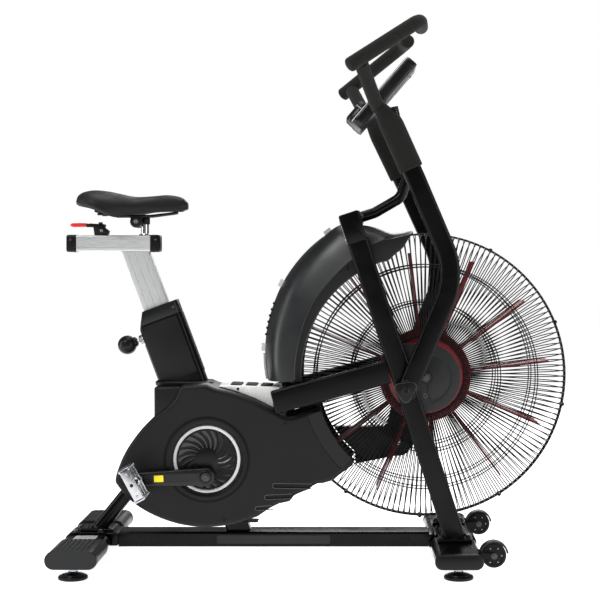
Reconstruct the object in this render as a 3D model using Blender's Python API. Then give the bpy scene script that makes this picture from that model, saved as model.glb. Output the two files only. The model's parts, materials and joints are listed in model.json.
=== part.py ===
"""Air bike: an exercise bicycle braked by a fan, with swinging handle arms, as separate solids in metres, +Z up.

+X points forward, towards the fan. +Y is the rider's left. The floor is Z = 0, and the origin is under the
middle of the bike. Round pieces turn about Y unless their function says otherwise.
"""

import math

import bmesh
import bpy
from mathutils import Matrix, Vector

# Clearances
TOUCH = 0.0003  # between pieces that are fastened together
RUN = 0.0005  # between a shaft and its bore
SIDES = (("right", -1), ("left", 1))
ACROSS = Vector((0, 1, 0))

# Base frame
BEAM_REAR_X, BEAM_FRONT_X, BEAM_Z = -0.522, 0.2965, 0.0544
BEAM_WIDTH, BEAM_HEIGHT, STEEL = 0.080, 0.0396, 0.0025
REAR_X, REAR_Z = -0.599, 0.0515
FRONT_X, FRONT_Z = 0.359, 0.0470
STABILIZER_HALF, STABILIZER_DEPTH, STABILIZER_HEIGHT = 0.292, 0.118, 0.036
FOOT_Y, FOOT_R, STUD_R = 0.260, 0.0365, 0.005
CAP_Y, CAP_DEPTH, CAP_HEIGHT = 0.130, 0.129, 0.045
WHEEL_X, WHEEL_Y, WHEEL_Z, WHEEL_R = 0.4505, 0.217, 0.0505, 0.031
WHEEL_WIDTH, WHEEL_PIN_R = 0.024, 0.005

# Seat: one axis, leaning back, that the seat tube, sleeve and post share
SEAT_LEAN = math.radians(20.5)
SEAT_UP = Vector((-math.sin(SEAT_LEAN), 0, math.cos(SEAT_LEAN)))
SEAT_FORE = Vector((math.cos(SEAT_LEAN), 0, math.sin(SEAT_LEAN)))
SEAT_FOOT = Vector((-0.3555, 0, 0.4740))
POST_START = 0.060  # how far up the sleeve the post ends: lowered 85 mm, it stays clear of the seat tube
SLEEVE_LENGTH, SLEEVE_DEPTH, SLEEVE_WIDTH = 0.205, 0.120, 0.060
POST_DEPTH, POST_WIDTH, POST_WALL = 0.072, 0.038, 0.003
RAIL_REAR_X, RAIL_FRONT_X, RAIL_LOW_Z, RAIL_TOP_Z = -0.6375, -0.4415, 0.8145, 0.8575
RAIL_WIDTH, RAIL_WALL, RAIL_CAP = 0.040, 0.003, 0.0265
PIN_X, PIN_R, SEAT_BOLT = -0.4575, 0.0105, Vector((-0.4775, 0, 0.8940))
LEVER_X = -0.572
KNOB_S, KNOB_R, KNOB_OUT = 0.1382, 0.0253, 0.1075  # height along the seat axis, ball radius, ball distance

# Fan and cage
FAN = Vector((0.287, 0, 0.487))
CAGE_R, CAGE_FACE_R, CAGE_HALF, CAGE_MOUTH_R = 0.3750, 0.330, 0.074, 0.104
WIRE = 0.004
RIB_COUNT, RIB_HALF = 22, 0.010
FAN_R, FAN_DISC_R, BLADE_COUNT = 0.327, 0.098, 12
AXLE_R = 0.008

# Uprights, side tubes and head
UPRIGHT_LEAN = math.atan2(0.257, 0.763)
UPRIGHT_UP = Vector((-math.sin(UPRIGHT_LEAN), 0, math.cos(UPRIGHT_LEAN)))
UPRIGHT_FORE = Vector((math.cos(UPRIGHT_LEAN), 0, math.sin(UPRIGHT_LEAN)))
UPRIGHT_FOOT = Vector((0.3605, 0, 0.0725))
UPRIGHT_Y, UPRIGHT_DEPTH, UPRIGHT_WIDTH = 0.121, 0.054, 0.030
HEAD = Vector((0.0965, 0, 0.8755))
HEAD_DEPTH, HEAD_HEIGHT, HEAD_HALF = 0.054, 0.080, 0.140
SIDE_RISE = math.radians(15)
SIDE_ALONG = Vector((math.cos(SIDE_RISE), 0, math.sin(SIDE_RISE)))
SIDE_UP = Vector((-math.sin(SIDE_RISE), 0, math.cos(SIDE_RISE)))
SIDE_REAR = Vector((-0.106, 0, 0.4250))
SIDE_HEIGHT, SIDE_WIDTH = 0.060, 0.030

# Handle arms: they swing about PIVOT
PIVOT = Vector((0.231, 0, 0.460))
ARM_Y, ARM_DEPTH, ARM_WIDTH = 0.167, 0.050, 0.030
STUB_R, LEVER_UP = 0.012, 0.058
LEFT_ARM_BACK = math.radians(1.5)  # the left arm rests a little further back than the right one

# Cranks and drive
CRANK = Vector((-0.283, 0, 0.232))
CRANK_LENGTH, CRANK_Y, CRANK_WIDTH = 0.175, 0.118, 0.024
CRANK_DROP = math.radians(1.7)
PEDAL_Y, PEDAL_LENGTH, PEDAL_SPAN, PEDAL_THICK = 0.190, 0.092, 0.086, 0.032
PEDAL_PITCH = math.radians(-62)
JACK = Vector((0.220, 0, 0.297))
CRANK_PULLEY_R, JACK_SMALL_R, JACK_LARGE_R, FAN_PULLEY_R = 0.075, 0.0165, 0.030, 0.018
BELT_1_Y, BELT_2_Y, BELT_WIDTH, BELT_THICK, BELT_LOOSE = 0.0858, 0.0945, 0.0070, 0.003, 0.0006

# Shroud
SHROUD_HALF, SHROUD_WALL = 0.096, 0.003
CHEEK_R = 0.285  # the shroud's front edge, about the fan's centre
GUARD_LOW_Y, GUARD_TOP_Y, GUARD_WALL = 0.0775, 0.1010, 0.0025
GUARD_JACK_R, GUARD_HUB_R = 0.038, 0.060
WIND_HALF, WIND_INNER_R, WIND_OUTER_R, WIND_GROWTH = 0.098, 0.323, 0.407, 0.0008


# Materials
def material(name, colour, roughness, metallic=0.0):
    made = bpy.data.materials.new(name)
    made.use_nodes = True
    shader = made.node_tree.nodes["Principled BSDF"]
    shader.inputs["Base Color"].default_value = (*colour, 1)
    shader.inputs["Roughness"].default_value = roughness
    shader.inputs["Metallic"].default_value = metallic
    return made


# Mesh helpers
def add_mesh(name, vertices, faces, finish):
    mesh = bpy.data.meshes.new(name)
    mesh.from_pydata([tuple(v) for v in vertices], [], faces)
    work = bmesh.new()
    work.from_mesh(mesh)
    bmesh.ops.recalc_face_normals(work, faces=work.faces)
    work.to_mesh(mesh)
    work.free()
    mesh.materials.append(finish)
    mesh.shade_smooth()
    mesh.set_sharp_from_angle(angle=math.radians(35))
    made = bpy.data.objects.new(name, mesh)
    bpy.context.scene.collection.objects.link(made)
    return made


def loft(name, rings, finish, inner=None, floor=False):
    """A solid through closed rings. With inner rings it is a tube, open at both ends or with a floor at the last."""
    count = len(rings[0])
    vertices = [v for ring in rings for v in ring]
    faces = []

    def skin(start, layers):
        for i in range(layers - 1):
            for j in range(count):
                a, b = start + i * count, start + (i + 1) * count
                k = (j + 1) % count
                faces.append((a + j, a + k, b + k, b + j))

    def join(a, b):
        for j in range(count):
            k = (j + 1) % count
            faces.append((a + j, a + k, b + k, b + j))

    def lid(start):
        faces.append(tuple(range(start, start + count)))

    skin(0, len(rings))
    last = (len(rings) - 1) * count
    if inner is None:
        lid(0)
        lid(last)
        return add_mesh(name, vertices, faces, finish)
    base = len(vertices)
    vertices += [v for ring in inner for v in ring]
    inner_last = base + (len(inner) - 1) * count
    skin(base, len(inner))
    join(0, base)
    if floor:
        lid(last)
        lid(inner_last)
    else:
        join(last, inner_last)
    return add_mesh(name, vertices, faces, finish)


def rounded_rect(width, height, radius, steps=2):
    corners = ((1, 1, 0), (-1, 1, 90), (-1, -1, 180), (1, -1, 270))
    points = []
    for x, y, start in corners:
        centre_x, centre_y = x * (width / 2 - radius), y * (height / 2 - radius)
        for i in range(steps + 1):
            turn = math.radians(start + 90 * i / steps)
            points.append((centre_x + radius * math.cos(turn), centre_y + radius * math.sin(turn)))
    return points


def ellipse(radius_a, radius_b, steps):
    turns = [2 * math.pi * i / steps for i in range(steps)]
    return [(radius_a * math.cos(t), radius_b * math.sin(t)) for t in turns]


def rounded_path(points, radius, steps=5):
    """The points joined by straight runs, each inner corner turned into an arc."""
    points = [Vector(p) for p in points]
    made = [points[0]]
    for before, corner, after in zip(points, points[1:], points[2:]):
        into, out = (corner - before).normalized(), (after - corner).normalized()
        half = into.angle(out) / 2
        back = radius * math.tan(half)
        start = corner - into * back
        centre = start + (out - into * into.dot(out)).normalized() * radius
        for i in range(steps + 1):
            turn = 2 * half * i / steps
            made.append(centre + (start - centre) * math.cos(turn) + into * radius * math.sin(turn))
    return made + [points[-1]]


def stations(path, side):
    """(point, side, up) along a path. The side direction is carried along without twisting."""
    path = [Vector(p) for p in path]
    side = Vector(side).normalized()
    found = []
    for i, point in enumerate(path):
        tangent = (path[min(i + 1, len(path) - 1)] - path[max(i - 1, 0)]).normalized()
        side = (side - tangent * side.dot(tangent)).normalized()
        found.append((point, side, tangent.cross(side)))
    return found


def rings_along(path, section, side=ACROSS, sizes=None):
    sizes = sizes or [1] * len(path)
    return [
        [point + a * across * size + b * up * size for a, b in section]
        for (point, across, up), size in zip(stations(path, side), sizes)
    ]


def sweep(name, path, section, finish, side=ACROSS, inner=None, sizes=None):
    hollow = inner and rings_along(path, inner, side)
    return loft(name, rings_along(path, section, side, sizes), finish, hollow)


def onto_plane(ring, along, point, normal):
    """The ring slid along a direction until it lies in a plane."""
    return [v + along * ((point - v).dot(normal) / along.dot(normal)) for v in ring]


def arc(centre, radius, start, end, steps):
    """Points (x, z) of an arc about a centre, with its angles in degrees from +X towards +Z."""
    turns = [math.radians(start + (end - start) * i / steps) for i in range(steps + 1)]
    return [(centre.x + radius * math.cos(t), centre.z + radius * math.sin(t)) for t in turns]


def belt_line(a, a_radius, b, b_radius, steps=10):
    """The outline (x, z) of a belt round two circles, a behind b."""
    apart = b - a
    heading = math.degrees(math.atan2(apart.z, apart.x))
    open_by = math.degrees(math.asin((a_radius - b_radius) / apart.length))
    top, bottom = heading + 90 - open_by, heading - 90 + open_by
    return arc(a, a_radius, top, bottom + 360, steps) + arc(b, b_radius, bottom, top, steps)


def prism(name, outline, low_y, high_y, finish, hole=None):
    """An outline (x, z) extruded along Y, with an optional hole outline of as many points."""
    def at(points, y):
        return [Vector((x, y, z)) for x, z in points]

    inner = hole and [at(hole, low_y), at(hole, high_y)]
    return loft(name, [at(outline, low_y), at(outline, high_y)], finish, inner)


def turned(name, profile, centre, axis, finish, steps=24, ring=False):
    """A profile of (radius, height) turned about an axis. A ring profile closes on itself round a bore."""
    turn = Vector((0, 0, 1)).rotation_difference(Vector(axis).normalized()).to_matrix()
    vertices, rows = [], []
    for radius, height in profile:
        count = 1 if radius < 1e-6 else steps
        rows.append([len(vertices) + i for i in range(count)])
        for i in range(count):
            angle = 2 * math.pi * i / steps
            spot = Vector((radius * math.cos(angle), radius * math.sin(angle), height))
            vertices.append(Vector(centre) + turn @ spot)
    faces = []
    pairs = list(zip(rows, rows[1:])) + ([(rows[-1], rows[0])] if ring else [])
    for low, high in pairs:
        for i in range(steps):
            k = (i + 1) % steps
            corners = [low[i % len(low)], low[k % len(low)], high[k % len(high)], high[i % len(high)]]
            face = tuple(dict.fromkeys(corners))
            if len(face) > 2:
                faces.append(face)
    return add_mesh(name, vertices, faces, finish)


def rod(name, start, end, radius, finish, steps=24):
    length = (Vector(end) - Vector(start)).length
    profile = [(0, 0), (radius, 0), (radius, length), (0, length)]
    return turned(name, profile, start, Vector(end) - Vector(start), finish, steps)


def block(name, low, high, finish):
    outline = [(low[0], low[2]), (high[0], low[2]), (high[0], high[2]), (low[0], high[2])]
    return prism(name, outline, low[1], high[1], finish)


def combine(target, other, operation):
    """A Boolean with a hidden helper object."""
    other.hide_render = True
    other.display_type = "WIRE"
    modifier = target.modifiers.new(operation.lower(), "BOOLEAN")
    modifier.operation = operation
    modifier.solver = "EXACT"
    modifier.object = other


def cut(target, cutter):
    combine(target, cutter, "DIFFERENCE")


def fuse(target, other):
    combine(target, other, "UNION")


def soften(target, width, segments=1):
    modifier = target.modifiers.new("soften", "BEVEL")
    modifier.width = width
    modifier.segments = segments
    modifier.limit_method = "ANGLE"
    modifier.angle_limit = math.radians(50)


def origin_at(target, point):
    """Moves the object's origin to a point, leaving its shape where it is."""
    target.data.transform(Matrix.Translation(-Vector(point)))
    target.location = point


def seat_point(along, fore=0.0, across=0.0):
    """A point in the seat axis's own directions, from the foot of the sleeve."""
    return SEAT_FOOT + SEAT_UP * along + SEAT_FORE * fore + ACROSS * across


def at_y(point, y):
    return Vector((point.x, y, point.z))


# Base frame
def main_beam(finish):
    path = [(BEAM_REAR_X, 0, BEAM_Z), (BEAM_FRONT_X, 0, BEAM_Z)]
    inner = rounded_rect(BEAM_WIDTH - 2 * STEEL, BEAM_HEIGHT - 2 * STEEL, 0.002)
    sweep("main_beam", path, rounded_rect(BEAM_WIDTH, BEAM_HEIGHT, 0.004), finish, inner=inner)


def foot_hole(x, side, z, finish):
    y = side * FOOT_Y
    return rod("foot_hole", (x, y, z - 0.03), (x, y, z + 0.008), STUD_R + RUN, finish, 12)


def stabilizer(name, x, z, beam_end, finish):
    """A flat oval tube across the bike, with the bracket that the beam bolts to."""
    def rings(depth, height, half):
        section = rounded_rect(depth, height, height / 2 - 0.0002, 4)
        return rings_along([(x, -half, z), (x, half, z)], section, side=(1, 0, 0))

    body = loft(name, rings(STABILIZER_DEPTH, STABILIZER_HEIGHT, STABILIZER_HALF), finish)
    wall = 2 * STEEL
    hollow = rings(STABILIZER_DEPTH - wall, STABILIZER_HEIGHT - wall, STABILIZER_HALF - STEEL)
    cut(body, loft(name + "_hollow", hollow, finish))
    for _, side in SIDES:
        cut(body, foot_hole(x, side, z, finish))
    toward = 1 if beam_end > x else -1
    top = z + STABILIZER_HEIGHT / 2
    edge = beam_end - toward * TOUCH
    outline = [
        (x - toward * 0.040, top - 0.001),
        (x - toward * 0.040, top + 0.004),
        (edge, top + 0.004),
        (edge, z - 0.012),
        (x + toward * (STABILIZER_DEPTH / 2 - 0.004), z - 0.012),
        (x + toward * (STABILIZER_DEPTH / 2 - 0.004), top - 0.001),
    ]
    fuse(body, prism(name + "_bracket", outline, -0.050, 0.050, finish))
    return body


def rear_caps(finish):
    """Plastic sleeves closed at their outer ends, over the ends of the rear tube."""
    gap = 0.0008
    outer = rounded_rect(CAP_DEPTH, CAP_HEIGHT, CAP_HEIGHT / 2 - 0.0002, 4)
    depth, height = STABILIZER_DEPTH + gap, STABILIZER_HEIGHT + gap
    inner = rounded_rect(depth, height, height / 2 - 0.0002, 4)
    for word, side in SIDES:
        def rings(section, end):
            path = [(REAR_X, side * CAP_Y, REAR_Z), (REAR_X, side * end, REAR_Z)]
            return rings_along(path, section, side=(1, 0, 0))

        end = STABILIZER_HALF + 0.003
        cap = loft("rear_cap_" + word, rings(outer, end), finish, rings(inner, end - 0.0025), floor=True)
        cut(cap, foot_hole(REAR_X, side, REAR_Z, finish))


def feet(finish):
    """Levelling feet: a domed pad and a threaded stud that turns in the tube."""
    profile = [
        (0, 0), (FOOT_R, 0), (FOOT_R, 0.006), (0.030, 0.013), (0.012, 0.019),
        (0.009, 0.0235), (STUD_R, 0.0235), (STUD_R, 0.042), (0, 0.042),
    ]
    for place, x in (("rear", REAR_X), ("front", FRONT_X)):
        for word, side in SIDES:
            turned(f"foot_{place}_{word}", profile, (0, 0, 0), (0, 0, 1), finish, 16).location = (
                x, side * FOOT_Y, 0)


def transport_wheels(finish, tyre):
    """Two small wheels on brackets bolted to the front tube."""
    top = FRONT_Z + STABILIZER_HEIGHT / 2 + TOUCH
    half = WHEEL_WIDTH / 2 + 0.003
    for word, side in SIDES:
        y = side * WHEEL_Y
        axle = Vector((WHEEL_X, y, WHEEL_Z))
        cheek = [(FRONT_X, top), (FRONT_X + 0.064, top)] + arc(axle, 0.014, 200, 340, 5)
        cheek += [(WHEEL_X + 0.012, WHEEL_Z + 0.018), (WHEEL_X - 0.020, WHEEL_Z + 0.042)]
        cheek += [(FRONT_X + 0.035, top + 0.022), (FRONT_X, top + 0.004)]
        bracket = prism("wheel_bracket_" + word, cheek, y - half - 0.004, y + half + 0.004, finish)
        gap = [Vector((WHEEL_X - 0.041, 0, 0)), Vector((WHEEL_X + 0.08, 0, 0))]
        cut(bracket, block("wheel_gap", (gap[0].x, y - half, -0.01), (gap[1].x, y + half, 0.2), finish))
        fuse(bracket, rod("wheel_pin", axle - ACROSS * (half + 0.001), axle + ACROSS * (half + 0.001),
                          WHEEL_PIN_R, finish, 16))
        bore, wide = WHEEL_PIN_R + RUN, WHEEL_WIDTH / 2
        profile = [
            (bore, -wide), (WHEEL_R - 0.004, -wide), (WHEEL_R, -wide + 0.004),
            (WHEEL_R, wide - 0.004), (WHEEL_R - 0.004, wide), (bore, wide),
        ]
        turned("transport_wheel_" + word, profile, (0, 0, 0), ACROSS, tyre, 28, ring=True).location = axle


def rear_strut(finish):
    """An oval tube from the rear bracket up to the seat tube, cut level at its foot."""
    top = REAR_Z + STABILIZER_HEIGHT / 2 + 0.004 + TOUCH
    start, end = Vector((-0.583, 0, top)), Vector((-0.375, 0, 0.330))
    lean = end - start
    stretch = lean.length / lean.z

    def rings(depth, width):
        section = ellipse(depth / 2 * stretch, width / 2, 16)
        return [[centre + Vector((a, b, 0)) for a, b in section] for centre in (start, end)]

    loft("rear_strut", rings(0.037, 0.030), finish, rings(0.033, 0.026))


def seat_tube(finish):
    """The hidden tube that joins the beam, the cranks' shell and the seat sleeve."""
    foot = BEAM_Z + BEAM_HEIGHT / 2 + TOUCH
    low = SEAT_FOOT + SEAT_UP * ((foot - SEAT_FOOT.z) / SEAT_UP.z)
    high = seat_point(-0.030 - TOUCH)

    def rings(depth, width):
        section = rounded_rect(depth, width, 0.004)
        flat = [[low + SEAT_FORE * a + ACROSS * b for a, b in section]]
        flat = [onto_plane(flat[0], SEAT_UP, low, Vector((0, 0, 1)))]
        return flat + [[high + SEAT_FORE * a + ACROSS * b for a, b in section]]

    body = loft("seat_tube", rings(0.060, 0.040), finish, rings(0.055, 0.035))
    fuse(body, rod("crank_shell", at_y(CRANK, -0.045), at_y(CRANK, 0.045), 0.028, finish))
    cut(body, rod("crank_shell_bore", at_y(CRANK, -0.06), at_y(CRANK, 0.06), 0.020 + RUN, finish))


# Seat
def seat_sleeve(finish):
    bore_depth, bore_width = POST_DEPTH + 2 * RUN, POST_WIDTH + 2 * RUN
    path = [seat_point(-0.030), seat_point(SLEEVE_LENGTH)]
    body = sweep("seat_sleeve", path, rounded_rect(SLEEVE_WIDTH, SLEEVE_DEPTH, 0.014, 3), finish,
                 inner=rounded_rect(bore_width, bore_depth, 0.006, 3))
    chamfer = [seat_point(SLEEVE_LENGTH + 0.02, -0.0253), seat_point(SLEEVE_LENGTH - 0.048, -0.0615)]
    outline = [(p.x, p.z) for p in chamfer] + [(-0.60, chamfer[1].z), (-0.60, chamfer[0].z)]
    cut(body, prism("sleeve_chamfer", outline, -0.05, 0.05, finish))
    half = SLEEVE_DEPTH / 2
    fuse(body, rod("knob_nut", seat_point(KNOB_S, -half - 0.012), seat_point(KNOB_S, -half + 0.004),
                   0.011, finish, 6))
    cut(body, rod("knob_bore", seat_point(KNOB_S, -half - 0.03), seat_point(KNOB_S, -0.030),
                  0.005 + RUN, finish, 16))


def seat_post(finish):
    """A flat oval aluminium tube that slides in the sleeve, cut level under the saddle's rail."""
    low = seat_point(POST_START)
    top = SEAT_FOOT + SEAT_UP * ((RAIL_LOW_Z - TOUCH - SEAT_FOOT.z) / SEAT_UP.z)

    def rings(depth, width, radius):
        section = rounded_rect(width, depth, radius, 3)
        ring = [ACROSS * a + SEAT_FORE * b for a, b in section]
        upper = onto_plane([top + v for v in ring], SEAT_UP, top, Vector((0, 0, 1)))
        return [[low + v for v in ring], upper]

    wall = 2 * POST_WALL
    post = loft("seat_post", rings(POST_DEPTH, POST_WIDTH, 0.0055), finish,
                rings(POST_DEPTH - wall, POST_WIDTH - wall, 0.003))
    origin_at(post, SEAT_FOOT)


def slider_rail(finish, plastic):
    middle = (RAIL_LOW_Z + RAIL_TOP_Z) / 2
    height = RAIL_TOP_Z - RAIL_LOW_Z
    path = [(RAIL_REAR_X, 0, middle), (RAIL_FRONT_X, 0, middle)]
    wall = 2 * RAIL_WALL
    rail = sweep("slider_rail", path, rounded_rect(RAIL_WIDTH, height, 0.003), finish,
                 inner=rounded_rect(RAIL_WIDTH - wall, height - wall, 0.001))
    cut(rail, block("rail_slot", (PIN_X - 0.072, -0.0125, middle), (0, 0.0125, 1), finish))
    for word, x, way in (("rear", RAIL_REAR_X, -1), ("front", RAIL_FRONT_X, 1)):
        outer = [(x + way * TOUCH, 0, middle), (x + way * RAIL_CAP, 0, middle)]
        section = rounded_rect(RAIL_WIDTH + 0.003, height + 0.003, 0.005)
        cap = sweep("rail_cap_" + word, outer, section, plastic)
        plug = [(x - way * 0.004, 0, middle), (x + way * 0.003, 0, middle)]
        inner = rounded_rect(RAIL_WIDTH - wall - 0.001, height - wall - 0.001, 0.001)
        fuse(cap, sweep("rail_plug", plug, inner, plastic))


def saddle_carriage(finish):
    """The block that slides in the rail, with its washer, chrome pin and the yoke that holds the clamp's bolt."""
    low, high = RAIL_LOW_Z + RAIL_WALL + TOUCH, RAIL_TOP_Z - RAIL_WALL - TOUCH
    half = RAIL_WIDTH / 2 - RAIL_WALL - TOUCH
    body = block("saddle_carriage", (PIN_X - 0.045, -half, low), (RAIL_FRONT_X - 0.005, half, high), finish)
    foot = Vector((PIN_X, 0, 0))
    profile = [
        (0, high - 0.002), (0.0085, high - 0.002), (0.0085, RAIL_TOP_Z + TOUCH), (0.0155, RAIL_TOP_Z + TOUCH),
        (0.0155, RAIL_TOP_Z + 0.0035), (PIN_R, RAIL_TOP_Z + 0.0045), (PIN_R, 0.906), (0, 0.906),
    ]
    fuse(body, turned("saddle_pin", profile, foot, (0, 0, 1), finish, 20))
    fuse(body, rod("yoke", SEAT_BOLT - ACROSS * 0.0115, SEAT_BOLT + ACROSS * 0.0115, 0.0125, finish, 20))
    cut(body, rod("yoke_bore", SEAT_BOLT - ACROSS * 0.02, SEAT_BOLT + ACROSS * 0.02, 0.0045, finish, 16))


def saddle_frame(finish):
    """The clamp's two cheeks and bolt, and the bent wire rail under the saddle."""
    body = rod("saddle_frame", SEAT_BOLT - ACROSS * 0.024, SEAT_BOLT + ACROSS * 0.024, 0.0040, finish, 12)
    cheek = arc(SEAT_BOLT, 0.0165, 150, 390, 10)
    cheek += [(SEAT_BOLT.x + 0.020, 0.9065), (SEAT_BOLT.x - 0.020, 0.9065)]
    for _, side in SIDES:
        low, high = sorted((side * 0.0125, side * 0.0270))
        fuse(body, prism("clamp_cheek", cheek, low, high, finish))
    half = [(-0.585, 0.040, 0.922), (-0.535, 0.030, 0.9085), (-0.500, 0.022, 0.9085),
            (-0.440, 0.022, 0.9085), (-0.372, 0.012, 0.9170)]
    points = [Vector((x, -y, z)) for x, y, z in half] + [Vector(p) for p in reversed(half)]
    path = rounded_path(points, 0.010, 2)
    fuse(body, sweep("saddle_rail", path, ellipse(0.0035, 0.0035, 8), finish, side=(0, 0, 1)))
    origin_at(body, SEAT_BOLT)


def saddle(finish):
    """The padded saddle: rings across it, from the tail to the nose."""
    # x, half width, top, edge of the skirt, underside in the middle
    slices = (
        (-0.6340, 0.034, 0.9520, 0.9400, 0.9420),
        (-0.6280, 0.062, 0.9650, 0.9360, 0.9400),
        (-0.6120, 0.086, 0.9735, 0.9320, 0.9380),
        (-0.5850, 0.099, 0.9775, 0.9260, 0.9370),
        (-0.5500, 0.098, 0.9745, 0.9120, 0.9360),
        (-0.5190, 0.085, 0.9680, 0.9080, 0.9340),
        (-0.4780, 0.058, 0.9600, 0.9130, 0.9320),
        (-0.4350, 0.038, 0.9620, 0.9200, 0.9300),
        (-0.3950, 0.031, 0.9650, 0.9220, 0.9290),
        (-0.3600, 0.026, 0.9590, 0.9220, 0.9270),
        (-0.3420, 0.014, 0.9440, 0.9260, 0.9280),
    )
    rings = []
    for x, half, top, skirt, under in slices:
        ring = [Vector((x, 0, under)), Vector((x, half * 0.60, under)), Vector((x, half * 0.90, skirt))]
        for i in range(7):
            turn = math.pi * i / 12
            rise = math.sin(turn) ** 0.8
            ring.append(Vector((x, half * math.cos(turn) ** 0.8, skirt + 0.006 + (top - skirt - 0.006) * rise)))
        rings.append(ring + [Vector((v.x, -v.y, v.z)) for v in reversed(ring[1:-1])])
    origin_at(loft("saddle", rings, finish), SEAT_BOLT)


def seat_lever(finish):
    """The clamp lever on the rail: a cam housing and a handle that swings round it."""
    base = RAIL_TOP_Z + TOUCH
    housing = [
        (LEVER_X - 0.019, base), (LEVER_X + 0.017, base), (LEVER_X + 0.020, base + 0.012),
        (LEVER_X + 0.006, base + 0.022), (LEVER_X + 0.010, base + 0.030), (LEVER_X - 0.028, base + 0.0325),
        (LEVER_X - 0.0735, base + 0.029), (LEVER_X - 0.0720, base + 0.021), (LEVER_X - 0.022, base + 0.024),
    ]
    body = prism("seat_lever", housing, -0.0110, 0.0110, finish)
    origin_at(body, (LEVER_X, 0, base))


def height_knob(finish):
    """A ball knob on a sprung pin that is pulled out of the sleeve."""
    out = KNOB_OUT - SLEEVE_DEPTH / 2
    length = out + SLEEVE_DEPTH / 2 - POST_DEPTH / 2 - 2 * RUN - 0.0005
    ball = [(KNOB_R * math.sin(math.pi * i / 10), -KNOB_R * math.cos(math.pi * i / 10)) for i in range(10)]
    profile = ball[:9] + [(0.0125, 0.0255), (0.0045, 0.0260), (0.0045, length), (0, length)]
    profile[0] = (0, -KNOB_R)
    turned("height_knob", profile, (0, 0, 0), SEAT_FORE, finish, 20).location = seat_point(KNOB_S, -KNOB_OUT)


# Uprights, head box, side tubes
def upright_at(height):
    """The middle of an upright's section at a height, at y = 0."""
    return UPRIGHT_FOOT + UPRIGHT_UP * ((height - UPRIGHT_FOOT.z) / UPRIGHT_UP.z)


def uprights(finish):
    top = HEAD - UPRIGHT_UP * (HEAD_HEIGHT / 2 + TOUCH)
    for word, side in SIDES:
        shift = ACROSS * side * UPRIGHT_Y

        def rings(depth, width, radius):
            section = rounded_rect(depth, width, radius, 3)
            ring = [UPRIGHT_FORE * a + ACROSS * b + shift for a, b in section]
            foot = onto_plane([UPRIGHT_FOOT + v for v in ring], UPRIGHT_UP, UPRIGHT_FOOT, Vector((0, 0, 1)))
            return [foot, [top + v for v in ring]]

        wall = 2 * STEEL
        body = loft("upright_" + word, rings(UPRIGHT_DEPTH, UPRIGHT_WIDTH, 0.008), finish,
                    rings(UPRIGHT_DEPTH - wall, UPRIGHT_WIDTH - wall, 0.005))
        floor = FRONT_Z + STABILIZER_HEIGHT / 2 + TOUCH
        low, high = sorted((side * 0.101, side * 0.141))
        fuse(body, block("upright_plate", (FRONT_X - 0.042, low, floor), (FRONT_X + 0.042, high, floor + 0.009),
                         finish))
        cut(body, rod("stub_bore", at_y(PIVOT, side * 0.09), at_y(PIVOT, side * 0.15), STUB_R + RUN, finish))
        tip = PIVOT + UPRIGHT_UP * LEVER_UP
        window = [tip - SIDE_ALONG * 0.045 + SIDE_UP * h for h in (-0.013, 0.013)]
        outline = [(p.x, p.z) for p in window] + [(tip.x, tip.z + 0.013), (tip.x, tip.z - 0.013)]
        low, high = sorted((side * 0.1105, side * 0.1310))
        cut(body, prism("link_window", outline, low, high, finish))


def head_box(finish):
    def rings(depth, height, half, radius):
        section = rounded_rect(depth, height, radius, 3)
        ring = [UPRIGHT_FORE * a + UPRIGHT_UP * b + HEAD for a, b in section]
        return [[v + ACROSS * y for v in ring] for y in (-half, half)]

    body = loft("head_box", rings(HEAD_DEPTH, HEAD_HEIGHT, HEAD_HALF, 0.006), finish)
    wall = 2 * STEEL
    inside = rings(HEAD_DEPTH - wall, HEAD_HEIGHT - wall, HEAD_HALF - STEEL, 0.004)
    cut(body, loft("head_hollow", inside, finish))
    for _, side in SIDES:
        spot = HEAD + ACROSS * side * 0.06
        cut(body, rod("drain", spot - UPRIGHT_UP * 0.06, spot, 0.006, finish, 12))


def console_mast(finish):
    """The bent tube from the head box up to the console."""
    front = HEAD + UPRIGHT_FORE * (HEAD_DEPTH / 2 + TOUCH)
    bends = [(0.105, 0, 0.9020), (0.155, 0, 0.9180), (0.224, 0, 0.9580), (0.2440, 0, 1.0200), (0.2030, 0, 1.1990)]
    path = rounded_path(bends, 0.040, 3)
    outer, inner = (rings_along(path, ellipse(r, r, 12)) for r in (0.0145, 0.0125))
    for rings in (outer, inner):
        rings[0] = onto_plane(rings[0], (path[1] - path[0]).normalized(), front, UPRIGHT_FORE)
    loft("console_mast", outer, finish, inner)


def side_tubes(finish):
    """The two tubes beside the shroud and the flat bar that joins them behind the cage."""
    front = upright_at(0.505) - UPRIGHT_FORE * (UPRIGHT_DEPTH / 2 + TOUCH)
    end = SIDE_REAR + SIDE_ALONG * 0.31
    bodies = []
    for word, side in SIDES:
        shift = ACROSS * side * UPRIGHT_Y

        def rings(height, width, radius, start):
            section = rounded_rect(width, height, radius, 3)
            ring = [ACROSS * a + SIDE_UP * b + shift for a, b in section]
            upper = onto_plane([end + v for v in ring], SIDE_ALONG, front, UPRIGHT_FORE)
            return [[SIDE_REAR + SIDE_ALONG * start + v for v in ring], upper]

        wall = 2 * STEEL
        outer = rings(SIDE_HEIGHT, SIDE_WIDTH, 0.008, 0.0)
        inner = rings(SIDE_HEIGHT - wall, SIDE_WIDTH - wall, 0.005, 0.004)
        bodies.append(loft("side_tube_" + word, outer[::-1], finish, inner[::-1], floor=True))
    low, high = (-0.1055, -0.1075, 0.4020), (-0.0935, 0.1075, 0.4440)
    fuse(bodies[0], block("cross_bar", low, high, finish))
    fuse(bodies[0], bodies[1])
    bodies[0].name = "side_frame"


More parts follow.
